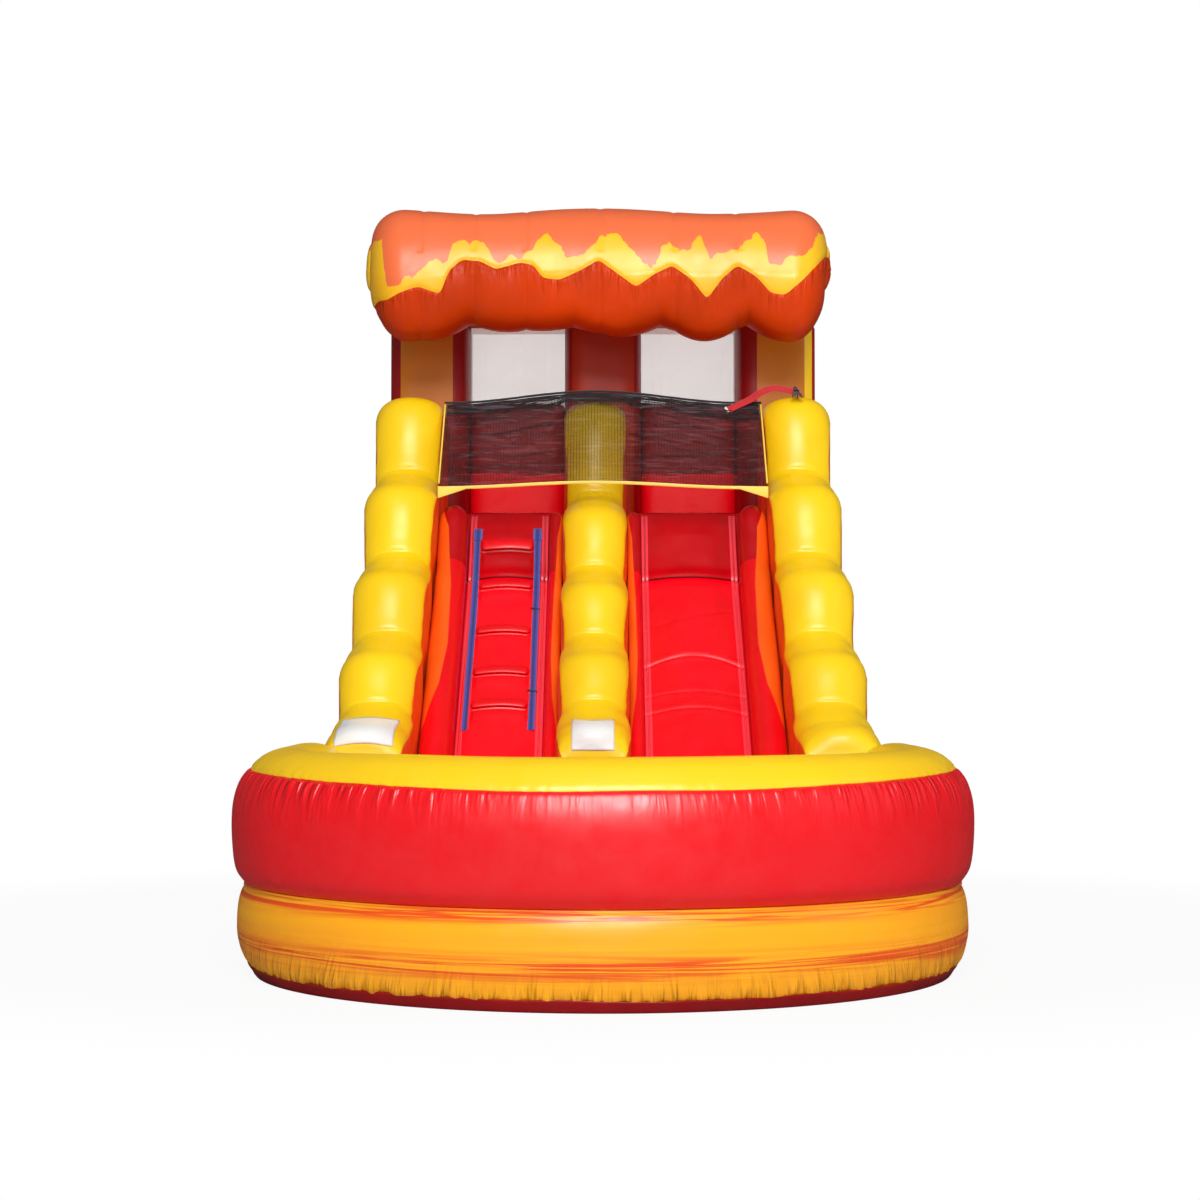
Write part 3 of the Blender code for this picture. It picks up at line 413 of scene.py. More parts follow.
def band_profile(width, thickness):
    """Cross-section of webbing: flat, with soft edges and a middle line of points."""
    half, high, soft = width / 2, thickness / 2, min(width * 0.06, thickness)
    low = high * 0.3
    places = (half - soft, half * 0.45, half * 0.2, 0.0, -half * 0.2, -half * 0.45, -half + soft)
    top = [(x, high) for x in places]
    bottom = [(-x, -z) for x, z in top]
    return [(half, low)] + top + [(-half, low), (-half, -low)] + bottom + [(half, -low)]


def webbing(name, path, up, width, thickness, material):
    """A strap along a path, with how far across and along it each point lies."""
    path = np.asarray(path, float)
    side, lift = path_frame(path, up)
    profile = np.array(band_profile(width, thickness))
    marks = {"across": profile[None, :, 0] / (width / 2), "along": lengths_along(path)[:, None]}
    return swept(name, path, side, lift, profile, material, marks=marks)


def cord_piece(name, path, radius, material, up=(0.0, 0.3, 1.0)):
    """A round cord or wire along a path."""
    path = np.asarray(path, float)
    side, lift = path_frame(path, up)
    turn = circle_turns(10)
    profile = np.stack([radius * np.cos(turn), radius * np.sin(turn)], axis=1)
    return swept(name, path, side, lift, profile, material)


def pillow(name, low, high, materials, rounding, steps):
    """A soft upright block with a rounded plan and pulled-in ends."""
    low, high = np.array(low, float), np.array(high, float)
    half, middle = (high - low) / 2, (high + low) / 2
    turn = circle_turns(steps[0] * 4)
    power = 2 * min(0.5, 1.6 * rounding / min(half[0], half[1]))
    plan = np.stack([np.sign(np.cos(turn)) * np.abs(np.cos(turn)) ** power,
                     np.sign(np.sin(turn)) * np.abs(np.sin(turn)) ** power], axis=1)
    levels = np.linspace(0, 1, steps[1])
    levels = np.concatenate([[0, 0.003, 0.008], levels[1:-1], [0.992, 0.997, 1]])
    rows = []
    for share in levels:
        inset = round_end(min(share, 1 - share) * (high[2] - low[2]), rounding)
        height = np.full(len(turn), low[2] + share * (high[2] - low[2]))
        rows.append(np.column_stack([middle[:2] + plan * (half[:2] - inset), height]))
    return skin(name, rows, materials)


def own(obj, nodes, slot, body=BODY):
    """The piece rides on its body and stands for its CAD nodes, if it has any."""
    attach(obj, body)
    if nodes:
        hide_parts(*nodes)
    return obj


# Node materials

class Finish:
    """A node material with short ways to add nodes and join them to its shader."""

    def __init__(self, name, colour, roughness=0.4, metallic=0.0):
        self.material = bpy.data.materials.new(name)
        self.material.use_nodes = True
        self.material.diffuse_color = (*colour, 1.0)
        self.tree = self.material.node_tree
        self.shader = self.tree.nodes["Principled BSDF"]
        self.set("Base Color", (*colour, 1.0))
        self.set("Roughness", roughness)
        self.set("Metallic", metallic)
        self.set("Specular IOR Level", 0.55)
        self.place = self.node("ShaderNodeTexCoord").outputs["Object"]

    def set(self, name, value):
        """Give the shader's input a value or another node's result."""
        if isinstance(value, bpy.types.NodeSocket):
            self.tree.links.new(value, self.shader.inputs[name])
        else:
            self.shader.inputs[name].default_value = value

    def node(self, kind, settings=None, **inputs):
        made = self.tree.nodes.new(kind)
        for key, value in (settings or {}).items():
            setattr(made, key, value)
        for key, value in inputs.items():
            numbered = key[0] == "i" and key[1:].isdigit()
            socket = made.inputs[int(key[1:]) if numbered else key.replace("_", " ")]
            if isinstance(value, bpy.types.NodeSocket):
                self.tree.links.new(value, socket)
            else:
                socket.default_value = value
        return made

    def math(self, operation, first, second=0.0, clamp=False):
        made = self.node("ShaderNodeMath", {"operation": operation, "use_clamp": clamp}, i0=first, i1=second)
        return made.outputs[0]

    def plus(self, first, second, clamp=False):
        return self.math("ADD", first, second, clamp)

    def minus(self, first, second):
        return self.math("SUBTRACT", first, second)

    def times(self, first, *others):
        for other in others:
            first = self.math("MULTIPLY", first, other)
        return first

    def size_of(self, value):
        return self.math("ABSOLUTE", value)

    def bell(self, value):
        """1 where a value is zero, falling off softly to both sides."""
        return self.math("POWER", 2.718, self.times(value, value, -1.0))

    def vector(self, x, y=0.0, z=0.0):
        return self.node("ShaderNodeCombineXYZ", X=x, Y=y, Z=z).outputs[0]

    def noise(self, scale, detail=2.0, stretch=None, distortion=0.0, place=None):
        place = self.place if place is None else place
        if stretch:
            place = self.node("ShaderNodeMapping", Vector=place, Scale=stretch).outputs[0]
        made = self.node("ShaderNodeTexNoise", Vector=place, Scale=scale, Detail=detail,
                         Distortion=distortion)
        return made.outputs["Fac"]

    def yarn(self, place, scale, distortion, direction="X"):
        made = self.node("ShaderNodeTexWave", {"bands_direction": direction}, Vector=place, Scale=scale,
                         Distortion=distortion)
        return made.outputs["Fac"]

    def mark(self, name):
        return self.node("ShaderNodeAttribute", {"attribute_name": name}).outputs["Fac"]

    def ramp(self, value, start, end, low=0.0, high=1.0, kind="LINEAR"):
        """A value carried from one range to another and held at its ends."""
        made = self.node("ShaderNodeMapRange", {"interpolation_type": kind}, Value=value, From_Min=start,
                         From_Max=end, To_Min=low, To_Max=high)
        return made.outputs[0]

    def step(self, value, edge, width):
        """0 below an edge and 1 above it."""
        return self.ramp(value, edge - width, edge + width, kind="SMOOTHSTEP")

    def past(self, mark, edge=COLOUR_EDGE):
        """0 where a mark is below zero and 1 where it is above."""
        return self.step(self.mark(mark), 0.0, edge)

    def cloud(self, scale, width=0.25, **settings):
        """Broad soft patches of dye and dust, which the lane cover also uses to place its painted light."""
        return self.step(self.noise(scale, 4.0, **settings), 0.5, width)

    def mix(self, amount, first, second):
        def full(colour):
            return colour if isinstance(colour, bpy.types.NodeSocket) else (*colour, 1.0)
        made = self.node("ShaderNodeMix", {"data_type": "RGBA"}, i0=amount, i6=full(first), i7=full(second))
        return made.outputs[2]

    def bump(self, height, strength, distance):
        """One more layer of fine relief over those already there."""
        before = self.shader.inputs["Normal"].links
        made = self.node("ShaderNodeBump", Height=height, Strength=strength, Distance=distance)
        if before:
            self.tree.links.new(before[0].from_socket, made.inputs["Normal"])
        self.set("Normal", made.outputs[0])

    def glow(self, colour, strength):
        """Painted light: an even glow in the surface's own colour, standing in for light that comes through
        from behind or falls on it.
        """
        self.set("Emission Color", (*colour, 1.0))
        self.set("Emission Strength", strength)


def tinted(colour, factor):
    return tuple(min(1.0, c * factor) for c in colour)


def vinyl_surface(finish, wrinkle=0.35):
    """Coated fabric: scrim grain, slack undulation and uneven gloss."""
    finish.bump(finish.noise(5.0, 3.0, distortion=0.6), wrinkle, SLACK_RELIEF)
    finish.bump(finish.noise(38.0), 0.10, CREPE_RELIEF)
    finish.bump(finish.noise(900.0, 1.0), 0.10, SCRIM_RELIEF)
    finish.set("Roughness", finish.ramp(finish.noise(9.0, 4.0), 0.3, 0.7, GLOSSY, DULL))


def vinyl(name, colour, wrinkle=0.35, shade=0.86, glow=0.0):
    """Plain coated fabric whose dye and dust vary a little from place to place; a glow, if given, is painted
    light.
    """
    finish = Finish(name, colour)
    cloud = finish.cloud(1.7, 0.22, distortion=0.4)
    finish.set("Base Color", finish.mix(cloud, tinted(colour, shade), tinted(colour, 1.04)))
    vinyl_surface(finish, wrinkle)
    finish.glow(colour, glow)
    return finish.material


def woven(name, colour, pale=1.6):
    """Webbing: rows of yarn across a strap."""
    finish = Finish(name, colour, 0.72)
    yarn = finish.yarn(finish.place, 260.0, 0.6, "DIAGONAL")
    finish.set("Base Color", finish.mix(yarn, tinted(colour, 0.75), tinted(colour, pale)))
    finish.bump(yarn, 0.5, YARN_RELIEF)
    finish.set("Sheen Weight", 0.25)
    return finish.material


def fine_gathers(finish, along, away, pitch, reach, depth, share_there=1.0):
    """Short creases under a seam, with unlike lengths and strengths."""
    place = finish.vector(finish.times(along, pitch), finish.times(away, 3.0))
    fold = finish.step(finish.noise(1.0, distortion=0.3, place=place), 0.52, 0.16)
    patches = finish.noise(1.0, place=finish.vector(finish.times(along, pitch * 0.3)))
    length = finish.times(finish.plus(patches, 0.25), reach * 1.35)
    fade = finish.bell(finish.math("DIVIDE", away, length))
    under = finish.times(finish.step(finish.times(away, -1.0), 0.009, 0.009), share_there)
    finish.bump(finish.times(fold, fade, under), 1.0, depth)


def palette():
    """Every finish of the slide, made once from the colours in the panel."""
    c = {key: tuple(getattr(colours(), key)) for key in SlideColours.__annotations__}
    return {
        "yellow": vinyl("yellow vinyl", c["yellow"], 0.22, 0.93),
        "orange": vinyl("orange vinyl", c["orange"], 0.40, 0.80),
        # Painted shade: darker copies of the yellow and orange for the column fronts under the roof
        "amber": vinyl("amber vinyl", SHADED_YELLOW, 0.40, 0.85),
        "rust": vinyl("rust vinyl", SHADED_ORANGE, 0.40, 0.80),
        "red": vinyl("red vinyl", c["red"], 0.35, 0.92),
        # Painted light: plain red with a glow, for the rear panels' fronts in the roof's shade
        "lit_red": vinyl("lit red vinyl", c["red"], 0.35, 0.92, glow=0.20),
        # Painted shade: the red darkened for the steep beds above the kink; the right column also uses it for
        # its lit outer edge
        "deep_red": vinyl("deep red vinyl", tinted(c["red"], 0.62), 0.35, 0.85),
        "dark_red": vinyl("dark red vinyl", c["dark_red"], 0.40, 0.80),
        "piping": vinyl("pale yellow binding", YELLOW_BINDING, 0.15, 0.92),
        "label": vinyl("blank white patch", tinted(c["pale"], 1.15), 0.15, 0.95),
        "blue": strap_finish(c["blue"]),
        "black": woven("black webbing", tinted(c["black"], 1.6)),
        "red_webbing": woven("red webbing", RED_WEBBING, 1.3),
        # Painted highlights on both net threads; the pale window thread also has a painted glow
        "thread": thread_finish("black net thread", c["black"], 9.0),
        "pale": thread_finish("pale net thread", tinted(c["pale"], 1.3), 0.96, glow=0.30),
        "seam": vinyl("pale red binding", RED_BINDING, 0.1, 0.9),
        "stitch": Finish("pale stitching", STITCH, 0.6).material,
        "steel": steel_finish(),
        "roof": roof_finish(c),
        "upper_ring": upper_ring_finish(c),
        "lower_ring": lower_ring_finish(c),
        "cover": cover_finish(c["red"]),
        "bolster": bolster_finish(c),
    }


FINISHES = {}


def finishes():
    if not FINISHES:
        FINISHES.update(palette())
    return FINISHES


def strap_finish(colour):
    """Blue webbing with a darker middle stripe and pale worn edges."""
    finish = Finish("blue webbing", colour, 0.68)
    away = finish.size_of(finish.mark("across"))
    yarn = finish.yarn(finish.vector(finish.mark("along")), 90.0, 0.4)
    body = finish.mix(finish.step(away, 0.30, 0.08), tinted(colour, 0.42), colour)
    body = finish.mix(finish.times(finish.step(away, 0.80, 0.10), 0.7), body, STRAP_EDGE)
    finish.set("Base Color", finish.mix(finish.times(yarn, 0.3), body, tinted(colour, 0.5)))
    finish.bump(yarn, 0.5, 0.0008)
    finish.set("Sheen Weight", 0.2)
    return finish.material


def thread_finish(name, colour, glint, glow=0.0):
    """Twisted net thread: streaky folds painted in a glint tint, paler glints on the black thread, and a
    painted glow for the little light it lets through.
    """
    finish = Finish(name, colour, 0.5)
    finish.glow(colour, glow)
    # Painted highlight: streaks of the thread take the glint tint
    folds = finish.step(finish.noise(4.0, 5.0, stretch=(1.0, 1.0, 11.0), distortion=1.2), 0.59, 0.06)
    finish.set("Base Color", finish.mix(folds, colour, tinted(colour, glint)))
    finish.bump(finish.noise(700.0, 1.0), 0.3, SCRIM_RELIEF)
    return finish.material


def steel_finish():
    """Zinc-plated wire and slider."""
    finish = Finish("plated steel", STEEL, metallic=1.0)
    finish.set("Roughness", finish.ramp(finish.noise(60.0, 4.0), 0.3, 0.7, 0.24, 0.46))
    finish.bump(finish.noise(420.0), 0.15, 0.0002)
    return finish.material


def cover_finish(colour):
    """Lane cover: painted light below the kink seam, painted shade above it where the cover is steeper, and a
    dull painted shadow line in the crease at the seam.
    """
    finish = Finish("lane cover vinyl", colour)
    away = finish.size_of(finish.mark("past_kink"))
    cloud = finish.cloud(2.2, stretch=(1.6, 0.7, 0.7), distortion=0.5)
    # Painted light below the kink, mixed in patches towards a lit red; painted shade above it
    low = finish.mix(cloud, colour, LIT_COVER)
    high = finish.mix(cloud, tinted(colour, 0.56), tinted(colour, 0.68))
    body = finish.mix(finish.past("past_kink", KINK_EDGE), low, high)
    # Painted shadow: a dark line along the kink seam's crease
    line = finish.minus(1.0, finish.step(away, 0.007, 0.003))
    finish.set("Base Color", finish.mix(line, body, tinted(colour, 0.22)))
    vinyl_surface(finish, 0.25)
    shine = finish.plus(0.06, finish.times(finish.step(away, 0.07, 0.04), 0.49))
    finish.set("Specular IOR Level", shine)
    return finish.material


def bolster_finish(c):
    """Orange towards the wall, red towards the lane, and past the kink a darker red that is painted shade."""
    finish = Finish("bolster vinyl", c["orange"])
    cloud = finish.cloud(1.7, 0.22, distortion=0.4)
    orange = finish.mix(cloud, tinted(c["orange"], 0.86), c["orange"])
    red = finish.mix(cloud, tinted(c["red"], 0.90), c["red"])
    # Painted shade: the lane side is darkened past the kink, as the lane cover is
    lane_side = finish.mix(finish.past("past_kink", KINK_EDGE), red, tinted(c["red"], 0.56))
    finish.set("Base Color", finish.mix(finish.past("wall_side"), lane_side, orange))
    vinyl_surface(finish)
    return finish.material


def roof_finish(c):
    """Salmon top, a yellow flame band over the seam and deep red-orange lobes under it."""
    finish = Finish("flame roof vinyl", c["salmon"])
    over_seam = finish.past("over_seam")
    ragged = finish.times(finish.minus(finish.noise(11.0, 3.0), 0.5), 0.11)
    over_flame = finish.step(finish.plus(finish.mark("over_flame"), ragged), 0.0, COLOUR_EDGE)
    cloud = finish.cloud(1.6)
    lobes = finish.mix(cloud, tinted(c["lobe_red"], 0.80), tinted(c["lobe_red"], 1.15))
    flame = finish.mix(cloud, FLAME_SHADE, FLAME_LIGHT)
    top = finish.mix(cloud, tinted(c["salmon"], 0.93), c["salmon"])
    finish.set("Base Color", finish.mix(over_seam, lobes, finish.mix(over_flame, flame, top)))
    vinyl_surface(finish, 0.25)
    axes = finish.node("ShaderNodeSeparateXYZ", Vector=finish.place).outputs
    fine_gathers(finish, axes["X"], finish.mark("over_seam"), 24.0, 0.10, 0.012)
    forward = finish.ramp(axes["Y"], REAR - 0.60, REAR - 1.0)
    shine = finish.plus(0.15, finish.times(over_seam, 0.40))
    finish.set("Specular IOR Level", finish.times(shine, finish.plus(0.03, finish.times(forward, 0.97))))
    return finish.material


def upper_ring_finish(c):
    """Yellow over the pool ring's seam and red under it."""
    finish = Finish("upper ring vinyl", c["red"])
    over = finish.past("over_seam")
    cloud = finish.cloud(1.5)
    side = finish.mix(cloud, tinted(c["red"], 0.93), c["red"])
    top = finish.mix(cloud, tinted(c["yellow"], 0.90), tinted(c["yellow"], 0.96))
    finish.set("Base Color", finish.mix(over, side, top))
    vinyl_surface(finish, 0.22)
    finish.set("Specular IOR Level", 0.85)
    sideways = finish.size_of(finish.minus(finish.mark("along"), RING_MIDDLE))
    flanks = finish.ramp(sideways, 0.35, 1.5, 0.12, 1.0)
    fine_gathers(finish, finish.mark("along"), finish.mark("over_seam"), 22.0, 0.12, 0.018, flanks)
    return finish.material


def lower_ring_finish(c):
    """Orange marbling: long streaks along the ring, gathered in one high and one low band."""
    finish = Finish("marbled ring vinyl", c["marble"])
    along, height = finish.mark("along"), finish.mark("height")
    flow = finish.vector(finish.times(along, 0.27), finish.times(height, 13.0))
    wave = finish.noise(1.0, 5.0, distortion=0.9, place=flow)
    fine = finish.noise(3.4, 5.0, distortion=1.2, place=flow)
    high, low = (finish.bell(finish.math("DIVIDE", finish.minus(height, centre), width))
                 for centre, width in ((0.440, 0.036), (0.205, 0.052)))
    thin = finish.minus(1.0, finish.step(finish.size_of(finish.minus(wave, 0.5)), 0.030, 0.020))
    wide = finish.times(finish.step(fine, 0.52, 0.10), 0.75)
    streak = finish.times(finish.plus(high, low, clamp=True), finish.math("MAXIMUM", thin, wide))
    streak = finish.math("MULTIPLY", streak, 1.35, clamp=True)
    ground = finish.mix(finish.step(wave, 0.55, 0.3), c["marble"], MARBLE_SHADE)
    finish.set("Base Color", finish.mix(streak, ground, c["streak"]))
    vinyl_surface(finish, 0.25)
    lean = finish.times(finish.minus(along, RING_MIDDLE), height, 0.45)
    fine_gathers(finish, finish.plus(along, lean), finish.times(height, -1.0), 22.0, 0.13, 0.030)
    return finish.material


# Thread nets and stitches, made by geometry nodes

def new_nodes(tree, *kinds):
    return [tree.nodes.new(kind) for kind in kinds]


def linked(tree, *pairs):
    for start, end in pairs:
        tree.links.new(start, end)


def tree_with_sizes(name, settings):
    """A geometry node tree with a geometry socket and named size inputs."""
    tree = bpy.data.node_groups.new(name, "GeometryNodeTree")
    tree.interface.new_socket("Geometry", in_out="INPUT", socket_type="NodeSocketGeometry")
    identifiers = {}
    for label in settings:
        socket = tree.interface.new_socket(label, in_out="INPUT", socket_type="NodeSocketFloat")
        identifiers[label] = socket.identifier
    tree.interface.new_socket("Geometry", in_out="OUTPUT", socket_type="NodeSocketGeometry")
    return tree, identifiers


def geometry_result(name, source, tree, identifiers, settings, material):
    """The source after its tree, as a plain mesh object, with the source removed."""
    modifier = source.modifiers.new(name, "NODES")
    modifier.node_group = tree
    for label, value in settings.items():
        modifier[identifiers[label]] = value
    bpy.context.view_layer.update()
    graph = bpy.context.evaluated_depsgraph_get()
    mesh = bpy.data.meshes.new_from_object(source.evaluated_get(graph))
    mesh.name = name
    bpy.data.objects.remove(source)
    mesh.materials.clear()
    return shown_mesh(name, mesh, [material])


def finish_tree(tree, geometry, material):
    """Realize Instances and Set Material at the tree's end."""
    real, paint, out = new_nodes(
        tree, "GeometryNodeRealizeInstances", "GeometryNodeSetMaterial", "NodeGroupOutput")
    paint.inputs["Material"].default_value = material
    linked(tree, (geometry, real.inputs[0]), (real.outputs[0], paint.inputs["Geometry"]),
           (paint.outputs[0], out.inputs[0]))


def line_source(name, lines):
    """Loose polylines as one mesh without faces."""
    points, edges = [], []
    for line in lines:
        start = len(points)
        points += [tuple(point) for point in line]
        edges += [(start + k, start + k + 1) for k in range(len(line) - 1)]
    mesh = bpy.data.meshes.new(name + "_lines")
    mesh.from_pydata(points, edges, [])
    return placed(name + "_lines", mesh)


def thread_net(name, lines, radius, material):
    """Threads of a net: every line becomes a thin closed tube."""
    settings = {"Thread radius": radius}
    tree, identifiers = tree_with_sizes(name + "_threads", settings)
    entry, to_curve, circle, to_mesh = new_nodes(
        tree, "NodeGroupInput", "GeometryNodeMeshToCurve", "GeometryNodeCurvePrimitiveCircle",
        "GeometryNodeCurveToMesh")
    circle.inputs["Resolution"].default_value = THREAD_SIDES
    to_mesh.inputs["Fill Caps"].default_value = True
    linked(tree, (entry.outputs["Geometry"], to_curve.inputs[0]),
           (entry.outputs["Thread radius"], circle.inputs["Radius"]),
           (to_curve.outputs[0], to_mesh.inputs["Curve"]),
           (circle.outputs[0], to_mesh.inputs["Profile Curve"]))
    finish_tree(tree, to_mesh.outputs[0], material)
    return geometry_result(name, line_source(name, lines), tree, identifiers, settings, material)


def stitches(name, lines, material, length=None, pitch=None, width=STITCH_WIDTH):
    """A row of small stitches along each line."""
    settings = {
        "Pitch": pitch or sizes().stitch_pitch, "Stitch length": length or sizes().stitch_length,
        "Stitch width": width,
    }
    tree, identifiers = tree_with_sizes(name + "_stitches", settings)
    entry, to_curve, sample, on_points, cube, size, tangent, turn = new_nodes(
        tree, "NodeGroupInput", "GeometryNodeMeshToCurve", "GeometryNodeResampleCurve",
        "GeometryNodeInstanceOnPoints", "GeometryNodeMeshCube", "ShaderNodeCombineXYZ",
        "GeometryNodeInputTangent", "FunctionNodeAlignRotationToVector")
    sample.mode = "LENGTH"
    turn.axis = "X"
    linked(tree, (entry.outputs["Geometry"], to_curve.inputs[0]),
           (to_curve.outputs[0], sample.inputs["Curve"]), (entry.outputs["Pitch"], sample.inputs["Length"]),
           (sample.outputs[0], on_points.inputs["Points"]),
           (entry.outputs["Stitch length"], size.inputs["X"]),
           (entry.outputs["Stitch width"], size.inputs["Y"]),
           (entry.outputs["Stitch width"], size.inputs["Z"]), (size.outputs[0], cube.inputs["Size"]),
           (cube.outputs[0], on_points.inputs["Instance"]), (tangent.outputs[0], turn.inputs["Vector"]),
           (turn.outputs[0], on_points.inputs["Rotation"]))
    finish_tree(tree, on_points.outputs[0], material)
    return geometry_result(name, line_source(name, lines), tree, identifiers, settings, material)


# Walls

CROWN_STEPS, SIDE_STEPS = 17, 110
CREASE_BACK, FACE_BULGE, CORNER_ROOM = 0.05, 0.09, 0.45
CROWN_DROP, OUTER_DROP, WALL_END = 0.13, 0.05, 0.03
CREST_SHARE, CREST_RISE, TOP_SOFTNESS = 0.40, 0.11, 0.25
DOME_CURVE, CROWN_CURVE, FACE_CURVE = 2.4, 0.86, 2.2
FOOT_TUCK, FOOT_HEIGHT = 0.014, 0.05
CREASE_DEPTH, CREASE_WIDTH = 0.017, 0.009
SIDE_CREASE_DEPTH, SIDE_CREASE_WIDTH = 0.006, 0.014
CROWN_SHARE, SWAY = 0.15, 0.012
PATCH_LIFT, PATCH_THICKNESS = 0.0025, 0.0016
PILLAR_STATIONS = (
    0.0, 0.006, 0.014, 0.026, 0.042, 0.065, 0.09, 0.125, 0.165, 0.21, 0.26, 0.31, 0.36, 0.41, 0.46,
    0.52, 0.58, 0.64, 0.70, 0.76, 0.81, 0.84, 0.87, 0.89, 0.905, 0.916, 0.924, 0.931, 0.938, 0.945,
    0.953, 0.965, 0.98, 0.99,
)


def swell(share):
    """1 in the crease between two pillars, 0 over most of a pillar's length."""
    return (0.5 + 0.5 * math.cos(2 * math.pi * (share + 0.03))) ** 3


def dome(share, peak, front, crest, rear):
    """Height along one pillar's top, from its front crease over the crest to its rear crease."""
    if share < peak:
        side, foot = (peak - share) / peak, front
    else:
        side, foot = (share - peak) / (1 - peak), rear
    return foot + (crest - foot) * (1 - side ** DOME_CURVE) ** (1 / DOME_CURVE)


def top_line(edges, creases, crests, last_peak):
    """Tables of y and height along a wall's top: each crest climbs softly into the next pillar's face."""
    ys = np.linspace(edges[0], edges[-1], 1400)
    tops = np.zeros(len(ys))
    for place, y in enumerate(ys):
        index = min(4, int((y - edges[0]) / PILLAR))
        share = (y - edges[index]) / (edges[index + 1] - edges[index])
        peak = last_peak if index == 4 else CREST_SHARE
        foot = creases[0] if index == 0 else crests[index - 1]
        if index == 4:
            tops[place] = dome(share, peak, foot, crests[index], creases[index + 1])
        elif share < peak:
            tops[place] = dome(share, peak, foot, crests[index] - CREST_RISE, creases[index + 1])
        else:
            tops[place] = crests[index] - CREST_RISE * (1 - share) / (1 - peak)
    count = int(TOP_SOFTNESS / (ys[1] - ys[0])) | 1
    kernel = np.hanning(count + 2)[1:-1]
    smooth = np.convolve(np.pad(tops, count // 2, mode="edge"), kernel / kernel.sum(), "valid")
    raw = np.clip(1 - np.minimum(ys - edges[0], edges[-1] - ys) / TOP_SOFTNESS, 0, 1)
    return ys, smooth + (tops - smooth) * raw


def wall_ring(y, top, outer, inner, drops, inset, back_room, front_room):
    """One section of a wall, from the outer foot over its round crown to the inner foot."""
    toward = 1 if outer > inner else -1
    outer -= toward * inset
    inner += toward * inset
    top -= inset
    middle, half = (outer + inner) / 2, abs(outer - inner) / 2
    turns = np.linspace(0, math.pi / 2, CROWN_STEPS)
    ring = []
    for drop, sign in ((drops[0], toward), (drops[1], -toward)):
        levels = np.linspace(FLOOR, top - drop, SIDE_STEPS)[:-1]
        foot = FOOT_TUCK * np.exp(-(levels - FLOOR) / FOOT_HEIGHT)
        line = [(middle + sign * (half - f), y, z) for f, z in zip(foot, levels)]
        for turn in turns[:-1]:
            line.append((middle + sign * half * math.cos(turn) ** CROWN_CURVE, y,
                         top - drop * (1 - math.sin(turn) ** CROWN_CURVE)))
        ring.append(line)
    line = np.array(ring[0] + [(middle, y, top)] + ring[1][::-1])
    free = np.clip(front_room + (line[:, 2] - RING_TOP + 0.06) / 0.12, 0, 1)
    line[:, 1] += FACE_BULGE * back_room * free * np.abs((line[:, 0] - middle) / half) ** FACE_CURVE
    return line


def stepped_wall(name, outer, inner, recesses, extra, height, shares, last_length, last_peak, node):
    """A wall of five swelling pillars: yellow over its fronts and tops, orange down its sides."""
    toward = 1 if outer > inner else -1
    edges = [FRONT + index * PILLAR for index in range(5)]
    edges.append(edges[-1] + last_length)
    crests = [height * share for share in shares]
    creases = [crests[0] * 0.84] + [crest - 0.05 for crest in crests]
    line = top_line(edges, creases, crests, last_peak)
    rings, dips = [], []
    for index in range(5):
        for share in PILLAR_STATIONS + ((1.0,) if index == 4 else ()):
            y = edges[index] + (edges[index + 1] - edges[index]) * share
            out = outer - toward * recesses[0] * swell(share)
            into = inner + toward * recesses[1] * swell(share)
            rings.append(wall_ring(
                y, float(np.interp(y, *line)), out, into, (CROWN_DROP + extra, CROWN_DROP),
                round_end(min(y - edges[0], edges[-1] - y), WALL_END),
                min(1.0, (edges[-1] - y) / CORNER_ROOM), min(1.0, (y - edges[0]) / CORNER_ROOM)))
            dips.append([min(abs(y - edge + back) for edge in edges[1:-1]) for back in (0, CREASE_BACK)])
    rows = np.array(rings)
    along, level = rows[:, :, 1], rows[:, :, 2]
    away, fold_away = np.array(dips)[:, :1], np.array(dips)[:, 1:]
    normal = grid_normals(rows)
    count = rows.shape[1]
    length = np.cumsum(np.linalg.norm(np.diff(rows, axis=1, prepend=rows[:, :1]), axis=2), axis=1)
    place = np.arange(count) - count // 2
    crown = (np.abs(place) < CROWN_STEPS - 3)[None, :]
    side = np.where(crown, CROWN_SHARE, 1.0)
    seed = sizes().seed + (3 if toward > 0 else 5)
    fold = gathers(length + 3 * np.round(along / PILLAR), away, 0.06, 0.13, seed)
    foot_fade = ramp(level - FLOOR, 0.10)
    sway = wobble(along * 5, level * 5, seed + 9) * SWAY
    crease = CREASE_DEPTH * bell(fold_away, CREASE_WIDTH) * np.exp(-(place / 5.0)[None, :] ** 2)
    crease = crease + SIDE_CREASE_DEPTH * bell(fold_away, SIDE_CREASE_WIDTH) * ~crown
    end_fade = ramp(np.minimum(along - edges[0], edges[-1] - along), 0.05)
    pull = (sizes().pucker_depth * side * fold + crease) * end_fade * foot_fade
    rows = rows - normal * (pull + np.maximum(sway, 0) * side * foot_fade)[..., None]
    seam_columns = (SIDE_STEPS, count - SIDE_STEPS - 2)
    zones = np.ones(count, int)
    zones[seam_columns[0]:seam_columns[1]] = 0
    mat = finishes()
    wall = skin(name, rows, [mat["yellow"], mat["orange"]], zones=zones[None, :])
    index = [1 if face.normal.y > 0.9 else face.material_index for face in wall.data.polygons]
    wall.data.polygons.foreach_set("material_index", index)
    own(wall, [node], "yellow_vinyl")
    seam_lines = [rows[2:-2, column] + normal[2:-2, column] * 0.0008 for column in seam_columns]
    own(stitches(name + "_stitching", seam_lines, mat["orange"]), [], "orange_vinyl")


